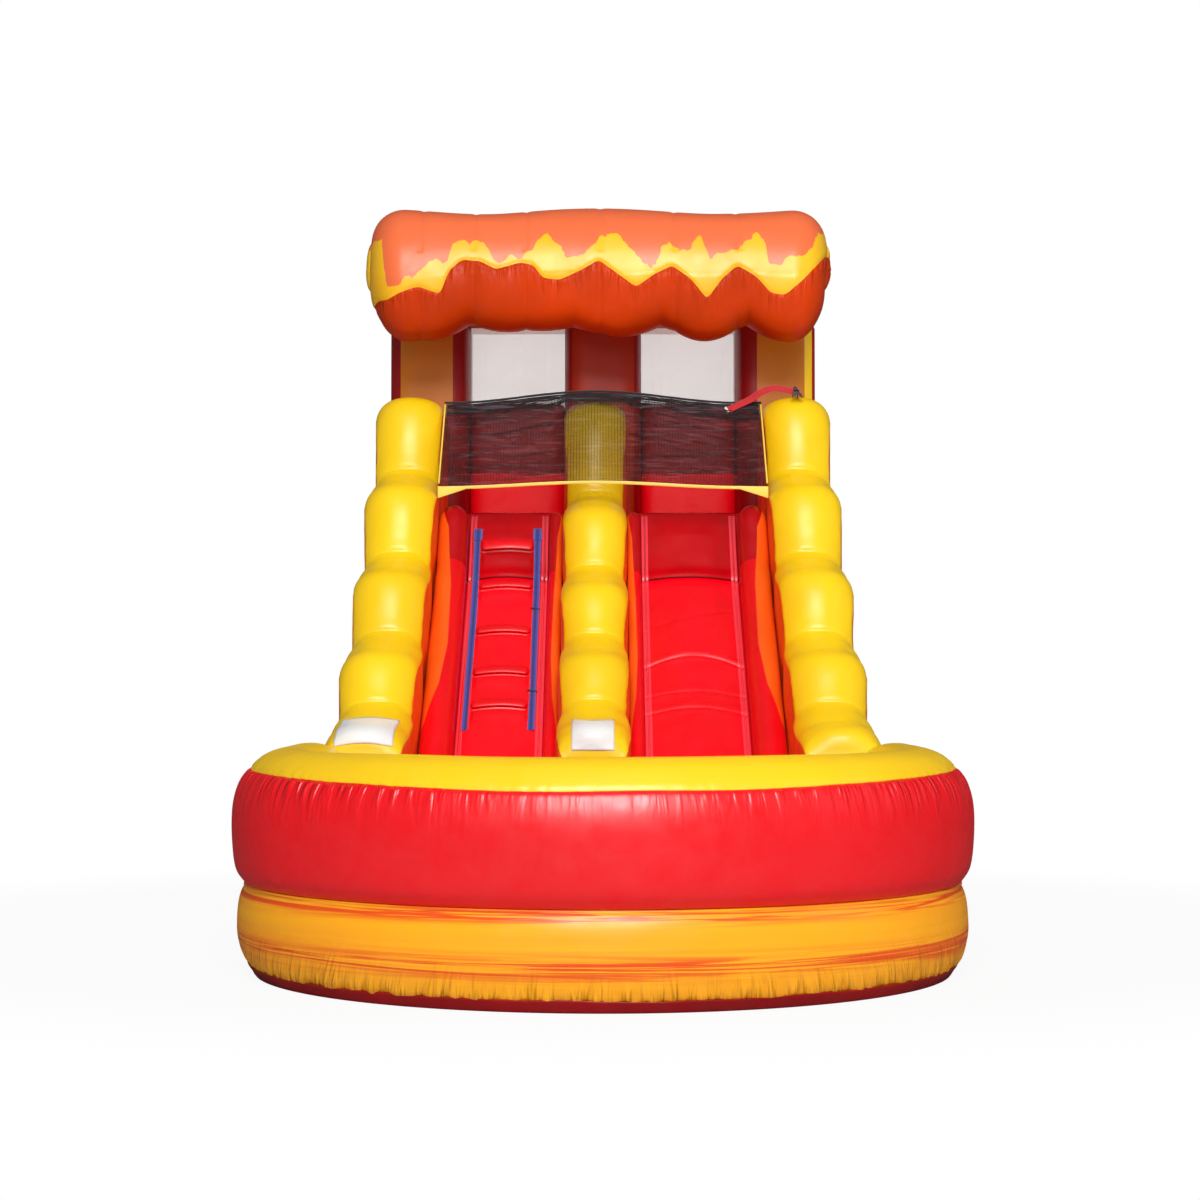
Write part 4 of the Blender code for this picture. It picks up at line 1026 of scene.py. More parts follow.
def make_walls():
    top_pillar = COLUMN_LOW.y - BED_REAR - 2 * GAP
    for name, side in (("left_wall", -1), ("right_wall", 1)):
        stepped_wall(name + "_skin", side * WALL_OUTER, side * WALL_INNER, (0.024, 0.018), OUTER_DROP,
                     WALL_HEIGHT, WALL_CRESTS, top_pillar, 0.29, name)
    stepped_wall("centre_wall_skin", CENTRE_X + CENTRE_HALF, CENTRE_X - CENTRE_HALF, (0.02, 0.02), 0.0,
                 CENTRE_HEIGHT, CENTRE_CRESTS, CENTRE_TOP_PILLAR, 0.80, "centre_wall")


def patch_on(name, wall, low_x, high_x, low_z, high_z, arch):
    """A blank printed patch that follows a wall's front."""
    tree = BVHTree.FromObject(wall, bpy.context.evaluated_depsgraph_get())
    columns, levels = 26, 16
    rows = np.zeros((levels, columns, 3))
    for i in range(levels):
        for j in range(columns):
            u, v = j / (columns - 1), i / (levels - 1)
            x = low_x + (high_x - low_x) * u
            z = low_z + (high_z - low_z) * v + arch * math.sin(math.pi * u)
            hit, normal, _, _ = tree.ray_cast(Vector((x, FRONT - 1, z)), Vector((0, 1, 0)))
            if hit is None:
                raise RuntimeError("the patch misses its wall")
            rows[i, j] = hit + normal * PATCH_LIFT
    patch = skin(name, rows, [finishes()["label"]], around=False, capped=False)
    solid = patch.modifiers.new("cloth", "SOLIDIFY")
    solid.thickness, solid.offset = PATCH_THICKNESS, 0.0
    return own(patch, [], "pale_net")


def make_labels():
    left, centre = (bpy.data.objects[n + "_skin"] for n in ("left_wall", "centre_wall"))
    patch_on("left_patch", left, -1.50, -1.17, 1.125, 1.262, 0.020)
    patch_on("centre_patch", centre, -0.175, 0.063, 1.105, 1.270, 0.0)


# Pool rings

RING_END, SEAM_HEIGHT, SEAM_RISE, SEAM_SWAY = 0.04, 1.008, 0.045, 0.012
RING_WAVE, SEAM_WIDTH = 0.006, 0.010
DOME_REACH, ROOF_STEP = 0.045, 0.0065


def pool_path(step):
    """Points and outward directions along the ring, from one rear end round the front to the other."""
    straight = np.arange(0.0, POOL_LENGTH, step * 1.6)
    turn = np.linspace(0, math.pi, int(math.pi * RING_RADIUS / step))
    right = [(RING_RADIUS, FRONT - GAP - s, 1.0, 0.0) for s in straight]
    bend = [(RING_RADIUS * math.cos(a), POOL_Y - RING_RADIUS * math.sin(a), math.cos(a), -math.sin(a))
            for a in turn]
    left = [(-RING_RADIUS, FRONT - GAP - s, -1.0, 0.0) for s in straight[::-1]]
    return np.array(right + bend + left)


def ring_profile_points(shares, half, low, high, steps):
    """A smooth outline of a ring chamber, outer side first, closed by a flat underside."""
    right = [(half * side, low + (high - low) * rise) for side, rise in shares]
    left = [(-side, rise) for side, rise in reversed(right) if side > 1e-6]
    outline = [(side, 0.0, rise) for side, rise in right + left]
    line = open_spline(outline, steps * len(outline))[:, [0, 2]]
    if shares[-1][0] > 0:
        line[:, 1] = np.clip(line[:, 1], low, high)
    under = np.linspace(line[-1], line[0], 14)[1:-1]
    return np.concatenate([line, under])


def pool_ring(name, shares, half, low, high, material, seam, node, slot):
    """A ring chamber with its rounded ends, its gathers and, where it has one, its seam."""
    path = pool_path(0.010)
    profile = ring_profile_points(shares, half, low, high, 8 if seam else 9)
    centre = np.stack([path[:, 0], path[:, 1], np.zeros(len(path))], axis=1)
    outward = np.stack([path[:, 2], path[:, 3], np.zeros(len(path))], axis=1)
    sideways = path[:, 2:3]
    rows = centre[:, None] + outward[:, None] * profile[None, :, :1]
    rows = rows + np.array([0.0, 0.0, 1.0]) * profile[None, :, 1:]
    along = lengths_along(centre)[:, None]
    height, side = profile[None, :, 1], profile[None, :, 0]
    end = np.minimum(along, along[-1] - along)
    inset = RING_END * (1 - np.sqrt(np.clip(1 - np.clip(1 - end / RING_END, 0, 1) ** 2, 0, 1)))
    middle = (low + high) / 2
    rows[:, :, 2] += np.sign(middle - height) * inset * np.abs(height - middle) / (high - middle)
    rows -= outward[:, None] * (side / half * inset)[..., None]
    normal = grid_normals(rows)
    seed, depth = sizes().seed, sizes().pucker_depth
    push = np.zeros(rows.shape[:2])
    outer = side > 0
    if seam:
        wave = seam + SEAM_RISE * sideways ** 2 + SEAM_SWAY * wobble(along * 2.2, 0.5, seed)
        over = height - wave
        fold = gathers(along, np.maximum(wave - height, 0), 0.042, 0.10, seed + 4)
        strong = 0.35 + 0.9 * soft_noise(along * 0.8, 0.5, seed + 6)
        strong = strong * (0.12 + 0.88 * np.abs(sideways) ** 1.3)
        push -= depth * 1.5 * fold * strong * (over < 0) * (outer + (side < 0) * 0.5)
        push -= depth * 0.5 * gathers(along, np.maximum(over, 0), 0.042, 0.03, seed + 4) * (over > 0)
        push -= sizes().seam_depth * bell(over, SEAM_WIDTH)
        marks = {"over_seam": over, "along": along}
    else:
        lean = (height - low) * 0.5 * np.sign(along - along[-1] / 2)
        foot = gathers(along + lean, height - low, 0.040, 0.10, seed + 11)
        foot = foot * (0.4 + soft_noise(along * 0.7, 0.5, seed + 2))
        head = gathers(along, high - height, 0.075, 0.035, seed + 12)
        push -= depth * (3.0 * foot + 0.6 * head) * outer
        marks = {"along": along, "height": height}
    push += RING_WAVE * wobble(along * 1.6, height * 3, seed + 15)
    flat = ramp(np.minimum(height - low, high - height + (0.05 if seam else 0.0)), 0.03)
    rows = rows + normal * (push * flat * ramp(end, 0.06))[..., None]
    rows[:, :, 2] = np.clip(rows[:, :, 2], low, high + 0.004 * bool(seam))
    own(skin(name, rows, [finishes()[material]], marks=marks), [node], slot)


def make_pool():
    pool_ring("lower_ring_skin", LOWER_SHARES, LOWER_HALF, FLOOR, RING_JOIN, "lower_ring", None,
              "pool_lower_ring", "marbled_vinyl")
    pool_ring("upper_ring_skin", UPPER_SHARES, UPPER_HALF, RING_JOIN + GAP, RING_TOP, "upper_ring",
              SEAM_HEIGHT, "pool_upper_ring", "red_vinyl")


BASE_TOP = 0.0195
POOL_HEM = (
    (-0.004, 0.0, 0.0), (0.004, 0.010, 0.0), (0.014, 0.028, 0.3), (0.030, 0.050, 0.8), (0.034, 0.058, 1.0),
    (0.030, 0.060, 1.0), (0.026, 0.056, 1.0), (0.010, 0.030, 0.3), (0.0, BASE_TOP, 0.0),
    (-0.05, BASE_TOP, 0.0),
)
BODY_HEM = (
    (-0.003, 0.0, 0.0), (0.0, 0.006, 0.2), (0.0, 0.013, 0.5), (-0.004, 0.018, 0.5), (-0.05, BASE_TOP, 0.0),
)


def base_sheet(name, outline, node, levels, waves):
    """A base sheet whose hem runs through levels of (reach outward, height, share of the waves)."""
    outline = np.array(outline)
    ahead = np.gradient(outline, axis=0)
    ahead /= np.maximum(np.linalg.norm(ahead, axis=1, keepdims=True), 1e-9)
    outward = np.column_stack([ahead[:, 1], -ahead[:, 0]])
    if ((outline - outline.mean(axis=0)) * outward).sum() < 0:
        outward = -outward
    wave = waves * wobble(lengths_along(outline) * 5, 0.5, sizes().seed)
    rows = []
    for reach, height, share in levels:
        plan = outline + outward * (reach + 0.4 * wave * share)[:, None]
        rows.append(np.column_stack([plan, height + wave * share]))
    sheet = own(skin(name, rows, [finishes()["dark_red"]]), [node], "dark_red_vinyl")


def make_bases():
    path = pool_path(0.02)
    reach = LOWER_HALF * LOWER_SHARES[0][0] + 0.012
    outline = path[:, :2] + path[:, 2:] * reach
    base_sheet("pool_base_sheet", outline, "pool_base", POOL_HEM, 0.012)
    low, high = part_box("body_base")
    corners = [(low.x, low.y), (high.x, low.y), (high.x, high.y), (low.x, high.y)]
    body = []
    for start, end in zip(corners, corners[1:] + corners[:1]):
        body += even_steps(start, end, 60)
    base_sheet("body_base_sheet", body, "body_base", BODY_HEM, 0.004)


# Roof

def roof_rows():
    """Grid of the roof's skin, with the smooth side section that it follows."""
    part = np.sin(np.linspace(math.pi / 2, 0, 16))
    ends = 1 - ROOF_END * (1 - part) / ROOF_HALF
    inner = np.arange(-ends[-1] + 0.006, ends[-1], ROOF_STEP)
    shares = np.concatenate([-ends, inner, ends[::-1]])
    spline = closed_spline(ROOF_SECTION, ROOF_STEPS)
    middle_y, middle_z = REAR - ROOF_DEPTH / 2, ROOF_BASE + ROOF_RISE / 2
    rows = []
    for share in shares:
        inward = ROOF_HALF * (1 - abs(share))
        full = 1.0
        if inward < ROOF_END:
            near = 1 - inward / ROOF_END
            full = ROOF_END_SHARE + (1 - ROOF_END_SHARE) * math.sqrt(max(0.0, 1 - near * near))
        depth = 0.0
        for low, high, lobe in zip(LOBE_EDGES, LOBE_EDGES[1:], LOBE_DEPTHS):
            if low <= share <= high:
                depth = lobe * math.sin(math.pi * (share - low) / (high - low))
        x = ROOF_X + ROOF_HALF * share
        y = REAR - ROOF_DEPTH * spline[:, 0]
        z = ROOF_BASE + ROOF_RISE * spline[:, 1] - LOBE_DROP * depth * np.clip(spline[:, 2], 0, 1)
        wave = CROWN_WAVE * math.cos(2 * math.pi * share) - CROWN_WAVE
        z += wave * ramp(spline[:, 1] - 0.8, 0.2)
        flat = (spline[:, 0] < 0.6) & (spline[:, 1] <= 0.02) & (abs(x) <= -COLUMN_LOW.x)
        y = middle_y + (y - middle_y) * full
        z = np.where(flat, np.maximum(z, ROOF_BASE), middle_z + (z - middle_z) * full)
        rows.append(np.stack([np.full(len(y), x), y, z], axis=1))
    for sign, rest in ((-1, 0), (1, -1)):
        ring = rows[rest]
        centre = ring.mean(axis=0)
        domes = []
        for turn in np.radians(np.linspace(8, 84, 10)):
            domed = centre + (ring - centre) * math.cos(turn)
            domed[:, 0] = ring[:, 0] + sign * DOME_REACH * math.sin(turn)
            domes.append(domed)
        rows = domes[::-1] + rows if rest == 0 else rows + domes
    return np.array(rows), spline


def make_roof():
    rows, spline = roof_rows()
    x, z = rows[:, :, 0], rows[:, :, 2]
    ahead, rise = spline[None, :, 0], spline[None, :, 1]
    seam = line_height(SEAM_LINE, x, 45)
    flame = line_height(FLAME_LINE, x)
    front = np.broadcast_to(ahead > 0.45, z.shape)
    forward = ramp(ahead - 0.25, 0.35)
    over_seam = z - (REAR_SEAM + (seam - REAR_SEAM) * forward)
    over_flame = z - (REAR_SEAM - REAR_FLAME + (flame - REAR_SEAM + REAR_FLAME) * forward)
    normal = grid_normals(rows)
    folds = np.array(ROOF_FOLDS)
    place = np.clip(np.searchsorted(folds, x) - 1, 0, len(folds) - 2)
    share = np.clip((x - folds[place]) / (folds[place + 1] - folds[place]), 0, 1)
    lobe = np.abs(np.sin(math.pi * share)) ** 0.55
    under = ramp(seam + 0.03 - z, 0.16) * front
    seed, depth = sizes().seed, sizes().pucker_depth
    push = sizes().roof_fold_depth * (lobe - 0.75) * under * ramp(ahead - 0.60, 0.2)
    slope = np.gradient(np.gradient(line_height(SEAM_LINE, x[:, 0])))
    peaked = np.clip(-slope / np.abs(slope).max() * 3, 0, 1)[:, None]
    tuck = gathers(x, np.maximum(seam - z, 0), 0.030, 0.10, seed + 21)
    tuck = tuck * (0.35 + 0.9 * soft_noise(x * 3, 0.5, seed + 3) + peaked)
    push -= depth * 1.3 * tuck * (z < seam) * front
    push -= depth * 0.5 * gathers(x, np.maximum(z - seam, 0), 0.045, 0.04, seed + 22) * (z > seam) * front
    push -= sizes().seam_depth * bell(z - seam, SEAM_WIDTH) * front
    push += 0.012 * wobble(x * 2.4, ahead * 3, seed + 5) * (rise > 0.3)
    push -= 0.006 * bell(np.abs(x[..., None] - folds[1:-1]).min(axis=2), 0.02) * (rise > 0.5)
    push *= np.where(front, 1.0, ramp(z - ROOF_BASE, 0.05))
    rows = rows + normal * push[..., None]
    roof = skin("wave_roof_skin", rows, [finishes()["roof"]],
                marks={"over_seam": over_seam, "over_flame": over_flame})
    own(roof, ["wave_roof"], "flame_vinyl")


# Lanes

SLANT_RUN, SLANT_RISE = 2.19, 0.19
FOLD_BOWS = ((1.85, 0.08, 0.9), (1.60, 0.02, 0.45), (1.455, 0.03, 0.55))
FINE_RUNS = (KINK_RUN, 1.90, 1.60, 1.47)
STRIP_WIDTH, STRIP_THICKNESS = 0.017, 0.0016
COVER_START, STRIP_START, STRIP_END = 0.05, 0.06, CREST_RUN - 0.02
BLOCK_END, BLOCK_SOFT = 0.015, 0.03
BOLSTER_RUNS = (0.12, 3.02)
COLOUR_RUNS = (1.17, 1.225, 1.516, 1.86, 2.40, 2.85, 3.02)
COLOUR_ANGLES = (180.0, 139.0, 93.0, 74.0, 82.0, 105.0, 150.0)
RUNG_RADIUS, RUNG_FLATNESS = 0.030, 0.45
HAND_STRAP, STRAP_CAP, CAP_LENGTH = 0.048, 0.058, 0.07
TIE_WIDTH, TIE_THICKNESS, TIE_HALF, TIE_SHIFT = 0.014, 0.004, 0.031, 0.006
END_SHARES = (0, 0.04, 0.15, 0.35, 0.6)


def lane_place(run, offset):
    """y and z over the lane at a run behind its nose, lifted off along its normal, with a soft kink."""
    run = np.asarray(run, float)
    low = NOSE_HEIGHT + run * LOW_SLOPE
    high = KINK_HEIGHT + (run - KINK_RUN) * TOP_SLOPE
    away = np.sqrt((high - low) ** 2 + KINK_SOFTNESS ** 2)
    turn = np.arctan((LOW_SLOPE + TOP_SLOPE + (high - low) * (TOP_SLOPE - LOW_SLOPE) / away) / 2)
    return FRONT + run - offset * np.sin(turn), (low + high + away) / 2 + offset * np.cos(turn)


def lane_swell(lane, x, run):
    """How far the cover lies over the bare lane."""
    low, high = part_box(lane + "_cover")
    share = np.clip((x - low.x) / (high.x - low.x), 0, 1)
    arc = np.sin(math.pi * share)
    ease = ramp(np.minimum(run - COVER_START, CREST_RUN - run), 0.15)
    lift = sizes().lane_crown * arc * ease
    seams = ((KINK_RUN, 0.0, 1.0),)
    if lane == "climb":
        between = ramp(np.minimum(x - STRAP_X[0], STRAP_X[1] - x) - 0.025, 0.02)
        for rung in RUNG_SHARES:
            away = run - strap_run(rung)
            roll = 0.010 * bell(away + 0.085, 0.05) - 0.014 * bell(away + 0.036, 0.012)
            lift = lift + between * ease * roll
    else:
        seams += FOLD_BOWS
        lift = lift - 0.004 * bell(run - SLANT_RUN - SLANT_RISE * share, 0.018)
    for place, bow, depth in seams:
        away = run - place - bow * arc
        lift = lift + depth * ease * (0.006 * bell(np.abs(away) - 0.032, 0.018) - 0.010 * bell(away, 0.010))
    return lift


def lane_runs(start, end, step=0.012):
    """Runs along a lane, closer together where its seams are."""
    even = np.arange(start, end, step)
    seams = [np.arange(place - 0.03, place + 0.03, 0.004) for place in FINE_RUNS]
    seams += [strap_run(share) + np.arange(-0.07, 0.03, 0.005) for share in RUNG_SHARES]
    runs = np.concatenate([even, [end], *seams])
    return np.unique(np.round(runs[(runs >= start) & (runs <= end)], 4))


def lane_cover(lane):
    """A lane's cover with its two edge strips on each side, sewn between them."""
    low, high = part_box(lane + "_cover")
    runs = lane_runs(COVER_START, CREST_RUN)
    along, x = runs[:, None], np.linspace(low.x, high.x, 60)[None, :]
    lift = lane_swell(lane, x, along)
    lift += 0.003 * wobble(x * 6, along * 3, sizes().seed + 31)
    across = np.broadcast_to(x, lift.shape)
    top = np.stack([across, *lane_place(along, lift + GAP + COVER_THICKNESS)], axis=2)
    under = np.stack([across, *lane_place(along, lift + GAP)], axis=2)
    rows = np.concatenate([top, under[:, ::-1]], axis=1)
    past = np.broadcast_to(along - KINK_RUN, rows.shape[:2])
    cover = skin(lane + "_cover_sheet", rows, [finishes()["cover"]], marks={"past_kink": past})
    own(cover, [lane + "_cover"], "red_vinyl")
    strips, lines = [], []
    for sign, edge in ((1, low.x), (-1, high.x)):
        for inset in (0.016, 0.042):
            strips.append(lane_band(
                f"{lane}_strip_{len(strips)}", lane, edge + sign * inset, STRIP_START, STRIP_END, STRIP_WIDTH,
                STRIP_THICKNESS, 0.0034, finishes()["seam"]))
        lines.append(lane_line(lane, edge + sign * 0.029, runs[2:-2], 0.0042))
    strip = own(joined(lane + "_cover_strips", strips), [], "red_vinyl")
    sewn = own(stitches(lane + "_cover_stitching", lines, finishes()["stitch"]), [], "red_vinyl")


def lane_line(lane, x, runs, offset):
    """Points along a lane at one x, over its cover."""
    lift = lane_swell(lane, x, runs) + offset
    return np.stack([np.full(len(runs), x), *lane_place(runs, lift)], axis=1)


def lane_band(name, lane, x, start, end, width, thickness, offset, material):
    """Webbing that lies on a lane's cover."""
    runs = lane_runs(start, end)
    path = lane_line(lane, x, runs, offset + thickness / 2)
    above = lane_line(lane, x, runs, offset + 0.05)
    return webbing(name, path, above - path, width, thickness, material)


def make_covers():
    lane_cover("climb")
    lane_cover("slide")


def bed_block(node, outline, material):
    """A bed chamber: its side view carried across the lane, with soft ends."""
    low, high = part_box(node)
    outline = np.array(outline)
    middle, half = outline.mean(axis=0), np.ptp(outline, axis=0) / 2
    ends = np.array([0.0, 0.002, 0.005, 0.010, 0.018, 0.03])
    inner = np.linspace(low.x + 0.06, high.x - 0.06, 12)
    rows = []
    for x in np.concatenate([low.x + ends, inner, high.x - ends[::-1]]):
        inset = round_end(min(x - low.x, high.x - x), BLOCK_END)
        ring = middle + (outline - middle) * (1 - inset / half)
        rows.append(np.column_stack([np.full(len(ring), x), ring]))
    own(skin(node + "_skin", rows, [material]), [node], "red_vinyl")


def side_outline(corners):
    """Corners joined by fine straight steps."""
    points = []
    for start, end in zip(corners, corners[1:] + corners[:1]):
        points += even_steps(start, end, max(2, int(math.dist(start, end) / 0.03)))
    return points


def make_beds():
    mat = finishes()
    kink, soft = FRONT + KINK_RUN, BLOCK_SOFT
    low_top = KINK_HEIGHT - 0.0005
    for lane in ("climb", "slide"):
        lower = [(FRONT, FLOOR), (FRONT, NOSE_HEIGHT - soft), (FRONT + soft * 0.3, NOSE_HEIGHT - soft * 0.1),
                 (FRONT + soft, NOSE_HEIGHT + soft * LOW_SLOPE), (kink - GAP, low_top), (kink - GAP, FLOOR)]
        upper = [(kink, FLOOR), (kink, KINK_HEIGHT), (FRONT + CREST_RUN, DECK), (BED_REAR, DECK),
                 (BED_REAR, FLOOR)]
        bed_block(lane + "_bed", side_outline(lower), mat["red"])
        # Painted shade: the upper beds, steeper above the kink, take the darkened red
        bed_block(lane + "_bed_top", side_outline(upper), mat["deep_red"])
    low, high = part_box("platform")
    left, right, notch = CENTRE_LOW.x - GAP, CENTRE_HIGH.x + GAP, CENTRE_HIGH.y + GAP
    plan = np.array(side_outline([
        (low.x, low.y), (left, low.y), (left, notch), (right, notch),
        (right, low.y), (high.x, low.y), (high.x, high.y), (low.x, high.y),
    ]))
    ahead = np.roll(plan, -1, axis=0) - np.roll(plan, 1, axis=0)
    ahead /= np.linalg.norm(ahead, axis=1, keepdims=True)
    outward = np.column_stack([ahead[:, 1], -ahead[:, 0]])
    rows = []
    for level, sign, turns in ((low.z, 1, np.linspace(90, 0, 7)), (high.z, -1, np.linspace(0, 90, 7))):
        for turn in np.radians(turns):
            inset = plan - outward * soft * (1 - math.cos(turn))
            height = level + sign * soft * (1 - math.sin(turn))
            rows.append(np.column_stack([inset, np.full(len(plan), height)]))
    own(skin("platform_skin", rows, [mat["red"]]), ["platform"], "red_vinyl")


def bolster(node, lane):
    """A round side tube: orange over its wall side, red towards the lane and near the pool."""
    low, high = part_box(node)
    middle, radius = (low.x + high.x) / 2, (high.x - low.x) / 2
    cover_low, cover_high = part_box(lane + "_cover")
    toward = 1 if (cover_low.x + cover_high.x) / 2 > middle else -1
    ends = radius * np.array([0.0, 0.03, 0.1, 0.22, 0.4, 0.65])
    start, end = BOLSTER_RUNS
    inner = lane_runs(start + radius, end - radius, 0.016)
    runs = np.unique(np.concatenate([start + ends, inner, end - ends]))
    run, turn = runs[:, None], circle_turns(56)
    near = ramp(np.minimum(runs - start, end - runs), radius)[:, None]
    size = radius * np.sqrt(np.clip(1 - (1 - near) ** 2, 0.0004, 1))
    fold = gathers(radius * turn[None, :] + 0 * run, np.abs(run - KINK_RUN), 0.03, 0.05, sizes().seed + 40)
    size = size - 0.004 * fold * near
    x = middle + toward * size * np.cos(turn)
    rows = np.stack([x, *lane_place(run, radius + GAP + size * np.sin(turn))], axis=2)
    boundary = np.interp(runs, COLOUR_RUNS, COLOUR_ANGLES)[:, None]
    angle = np.degrees(turn)[None, :]
    wall_side = np.radians(np.minimum(angle - boundary, 265 - angle)) * radius
    marks = {"wall_side": np.minimum(wall_side, (run - COLOUR_RUNS[0]) * 0.5), "past_kink": run - KINK_RUN}
    piece = skin(node + "_skin", rows, [finishes()["bolster"]], marks=marks)
    own(piece, [node], "orange_vinyl")


def make_bolsters():
    for lane in ("climb", "slide"):
        for place in ("outer", "inner"):
            bolster(f"{lane}_{place}_bolster", lane)


def strap_run(share):
    return STRAP_RUNS[0] + (STRAP_RUNS[1] - STRAP_RUNS[0]) * share


def make_ladder():
    mat = finishes()
    rest = GAP + COVER_THICKNESS + 0.0004
    for name, x in zip(("left_hand_strap", "right_hand_strap"), STRAP_X):
        strap = lane_band(name + "_web", "climb", x, *STRAP_RUNS, HAND_STRAP, WEB_THICKNESS, rest,
                          mat["blue"])
        cap = lane_band(name + "_cap", "climb", x, STRAP_RUNS[1] - CAP_LENGTH, STRAP_RUNS[1], STRAP_CAP,
                        WEB_THICKNESS, rest + WEB_THICKNESS, mat["blue"])
        own(joined(name + "_piece", [strap, cap]), [name], "blue_webbing")
        runs = lane_runs(*STRAP_RUNS)[1:-1]
        lines = [lane_line("climb", x + side, runs, rest + 0.0036) for side in (-0.018, 0.018)]
        own(stitches(name + "_stitching", lines, mat["stitch"]), [], "blue_webbing")
    low, high = STRAP_X[0] + 0.0243, STRAP_X[1] - 0.0243
    ends, turn = RUNG_RADIUS * np.array(END_SHARES), circle_turns(32)
    inner = np.linspace(low + RUNG_RADIUS, high - RUNG_RADIUS, 40)
    x = np.concatenate([low + ends, inner, high - ends[::-1]])
    for number, share in enumerate(RUNG_SHARES, start=1):
        run = strap_run(share)
        near = ramp(np.minimum(x - low, high - x), 0.7 * RUNG_RADIUS)
        size = RUNG_RADIUS * np.sqrt(np.clip(1 - (1 - near) ** 2, 0.09, 1))[:, None]
        size = size * (1 + 0.05 * wobble(x * 30, 0.5, number)[:, None])
        lift = (lane_swell("climb", x, run) + rest + RUNG_RADIUS * RUNG_FLATNESS)[:, None]
        y, z = lane_place(run + size * np.cos(turn), lift + size * np.sin(turn) * RUNG_FLATNESS)
        rows = np.stack([np.broadcast_to(x[:, None], y.shape), y, z], axis=2)
        rung = skin(f"ladder_rung_{number}_roll", rows, [mat["red"]])
        own(rung, [f"ladder_rung_{number}"], "red_vinyl")
    x = np.linspace(STRAP_X[1] - TIE_HALF, STRAP_X[1] + TIE_HALF, 9)
    for name, share in zip(("lower_strap_tie", "upper_strap_tie"), TIE_SHARES):
        run = strap_run(share)
        y, z = lane_place(run + TIE_SHIFT, lane_swell("climb", x, run) + rest + 0.0034 + 0.0022)
        above = lane_place(run + TIE_SHIFT, 0.1)
        path = np.stack([x, y, z], axis=1)
        up = np.array([0.0, above[0] - y[0], above[1] - z[0]])
        band = webbing(name + "_band", path, up, TIE_WIDTH, TIE_THICKNESS, mat["black"])
        own(band, [name], "black_webbing")


# Tower

# Painted light and shade on the columns: their fronts take darker copies of their fabric for the roof's
# shadow, and the right column has a sunlit yellow strip and a brighter red edge at its outer side
COLUMNS = {
    "left_column": ((-1.466, -1.09), ("dark_red", "amber", "dark_red"), "yellow_vinyl"),
    "centre_column": ((-0.225, 0.225), ("dark_red", "rust", "dark_red"), "orange_vinyl"),
    "right_column": ((1.112, 1.462, 1.516), ("dark_red", "amber", "yellow", "deep_red"), "yellow_vinyl"),
}
# Heights: below the first the side columns are dark red, above the second the rear panels are
STRIP_FOOT, DARK_TOP_FOOT = 3.40, 3.0


def paint_faces(obj, chosen):
    """Give each face the material that a rule chooses for its middle."""
    index = np.array([chosen(face.center) for face in obj.data.polygons], np.int32)
    obj.data.polygons.foreach_set("material_index", index)


def make_tower():
    mat = finishes()
    for node, (limits, names, slot) in COLUMNS.items():
        low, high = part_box(node)
        middle = (low.y + high.y) / 2
        foot = 0.0 if node == "centre_column" else STRIP_FOOT

        def strip(place):
            """The stretch of the width that a place lies in; below the strips and behind it is the first."""
            zone = int(np.searchsorted(limits, place.x))
            return 0 if 0 < zone < len(limits) and (place.z < foot or place.y > middle) else zone

        column = pillow(node + "_skin", low, high, [mat[name] for name in names], 0.035, (48, 110))
        paint_faces(column, strip)
        own(column, [node], slot)
    for node in ("left_rear_panel", "right_rear_panel"):
        low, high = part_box(node)
        middle = (low.y + high.y) / 2
        # Painted light on the rear panels: their fronts below the dark top glow, standing in for sun that the
        # roof's shade takes away; their backs are plain red
        fabrics = [mat["lit_red"], mat["dark_red"], mat["red"]]
        panel = pillow(node + "_skin", low, high, fabrics, 0.02, (60, 110))
        paint_faces(panel, lambda place: 1 if place.z > DARK_TOP_FOOT else 2 * (place.y > middle))
        own(panel, [node], "dark_red_vinyl")


# Nets

HEM_SIDE, HEM_DEPTH, HEM_END_DEPTH, HEM_END = 1.0997, 0.022, 0.085, 0.19
HEM_SECTION = (
    (-0.0022, 0.03), (-0.003, 0.1), (-0.0026, 0.5), (-0.003, 0.9), (-0.0022, 0.97), (0.0022, 0.97),
    (0.0026, 0.5), (0.0022, 0.03),
)
HEM_SEWING, PIPING_X, ROPE_SIDE = -0.0036, 1.0937, 1.0994
PIPING_RADIUS, ROPE_RADIUS = 0.006, 0.008
BAND_ROWS, BAND_DEPTH = 34, 0.17
STRAP_FACE = (0.0, -0.75, 0.66)
STRAP_PATH = (
    (0.854, 3.352), (0.93, 3.388), (1.015, 3.428), (1.095, 3.480), (1.175, 3.507), (1.26, 3.500),
    (1.36, 3.478),
)
KNOT = (
    (0.0, -0.032, 0.0), (-0.014, -0.042, 0.012), (0.012, -0.048, 0.010), (0.009, -0.038, -0.006),
    (-0.010, -0.040, 0.001), (-0.004, -0.044, 0.014),
)
KNOT_LOOP = (
    (-0.006, -0.036, 0.0), (-0.014, -0.030, 0.024), (-0.010, -0.028, 0.036), (0.004, -0.030, 0.026),
    (0.004, -0.036, 0.0),
)
TAIL_ENDS = ((-0.034, 0.048), (-0.018, 0.040), (0.002, 0.052), (0.018, 0.038), (0.030, 0.046))


def net_lift(x):
    away = np.abs(x - CENTRE_X) / NET_LIFT_HALF
    return np.where(away < 1, NET_LIFT * np.cos(math.pi * np.minimum(away, 1) / 2) ** 2, 0.0)


def edge_fade(share, times):
    """0 at both ends of a stretch and 1 over its middle."""
    return np.clip(np.minimum(share, 1 - share) * times, 0, 1)


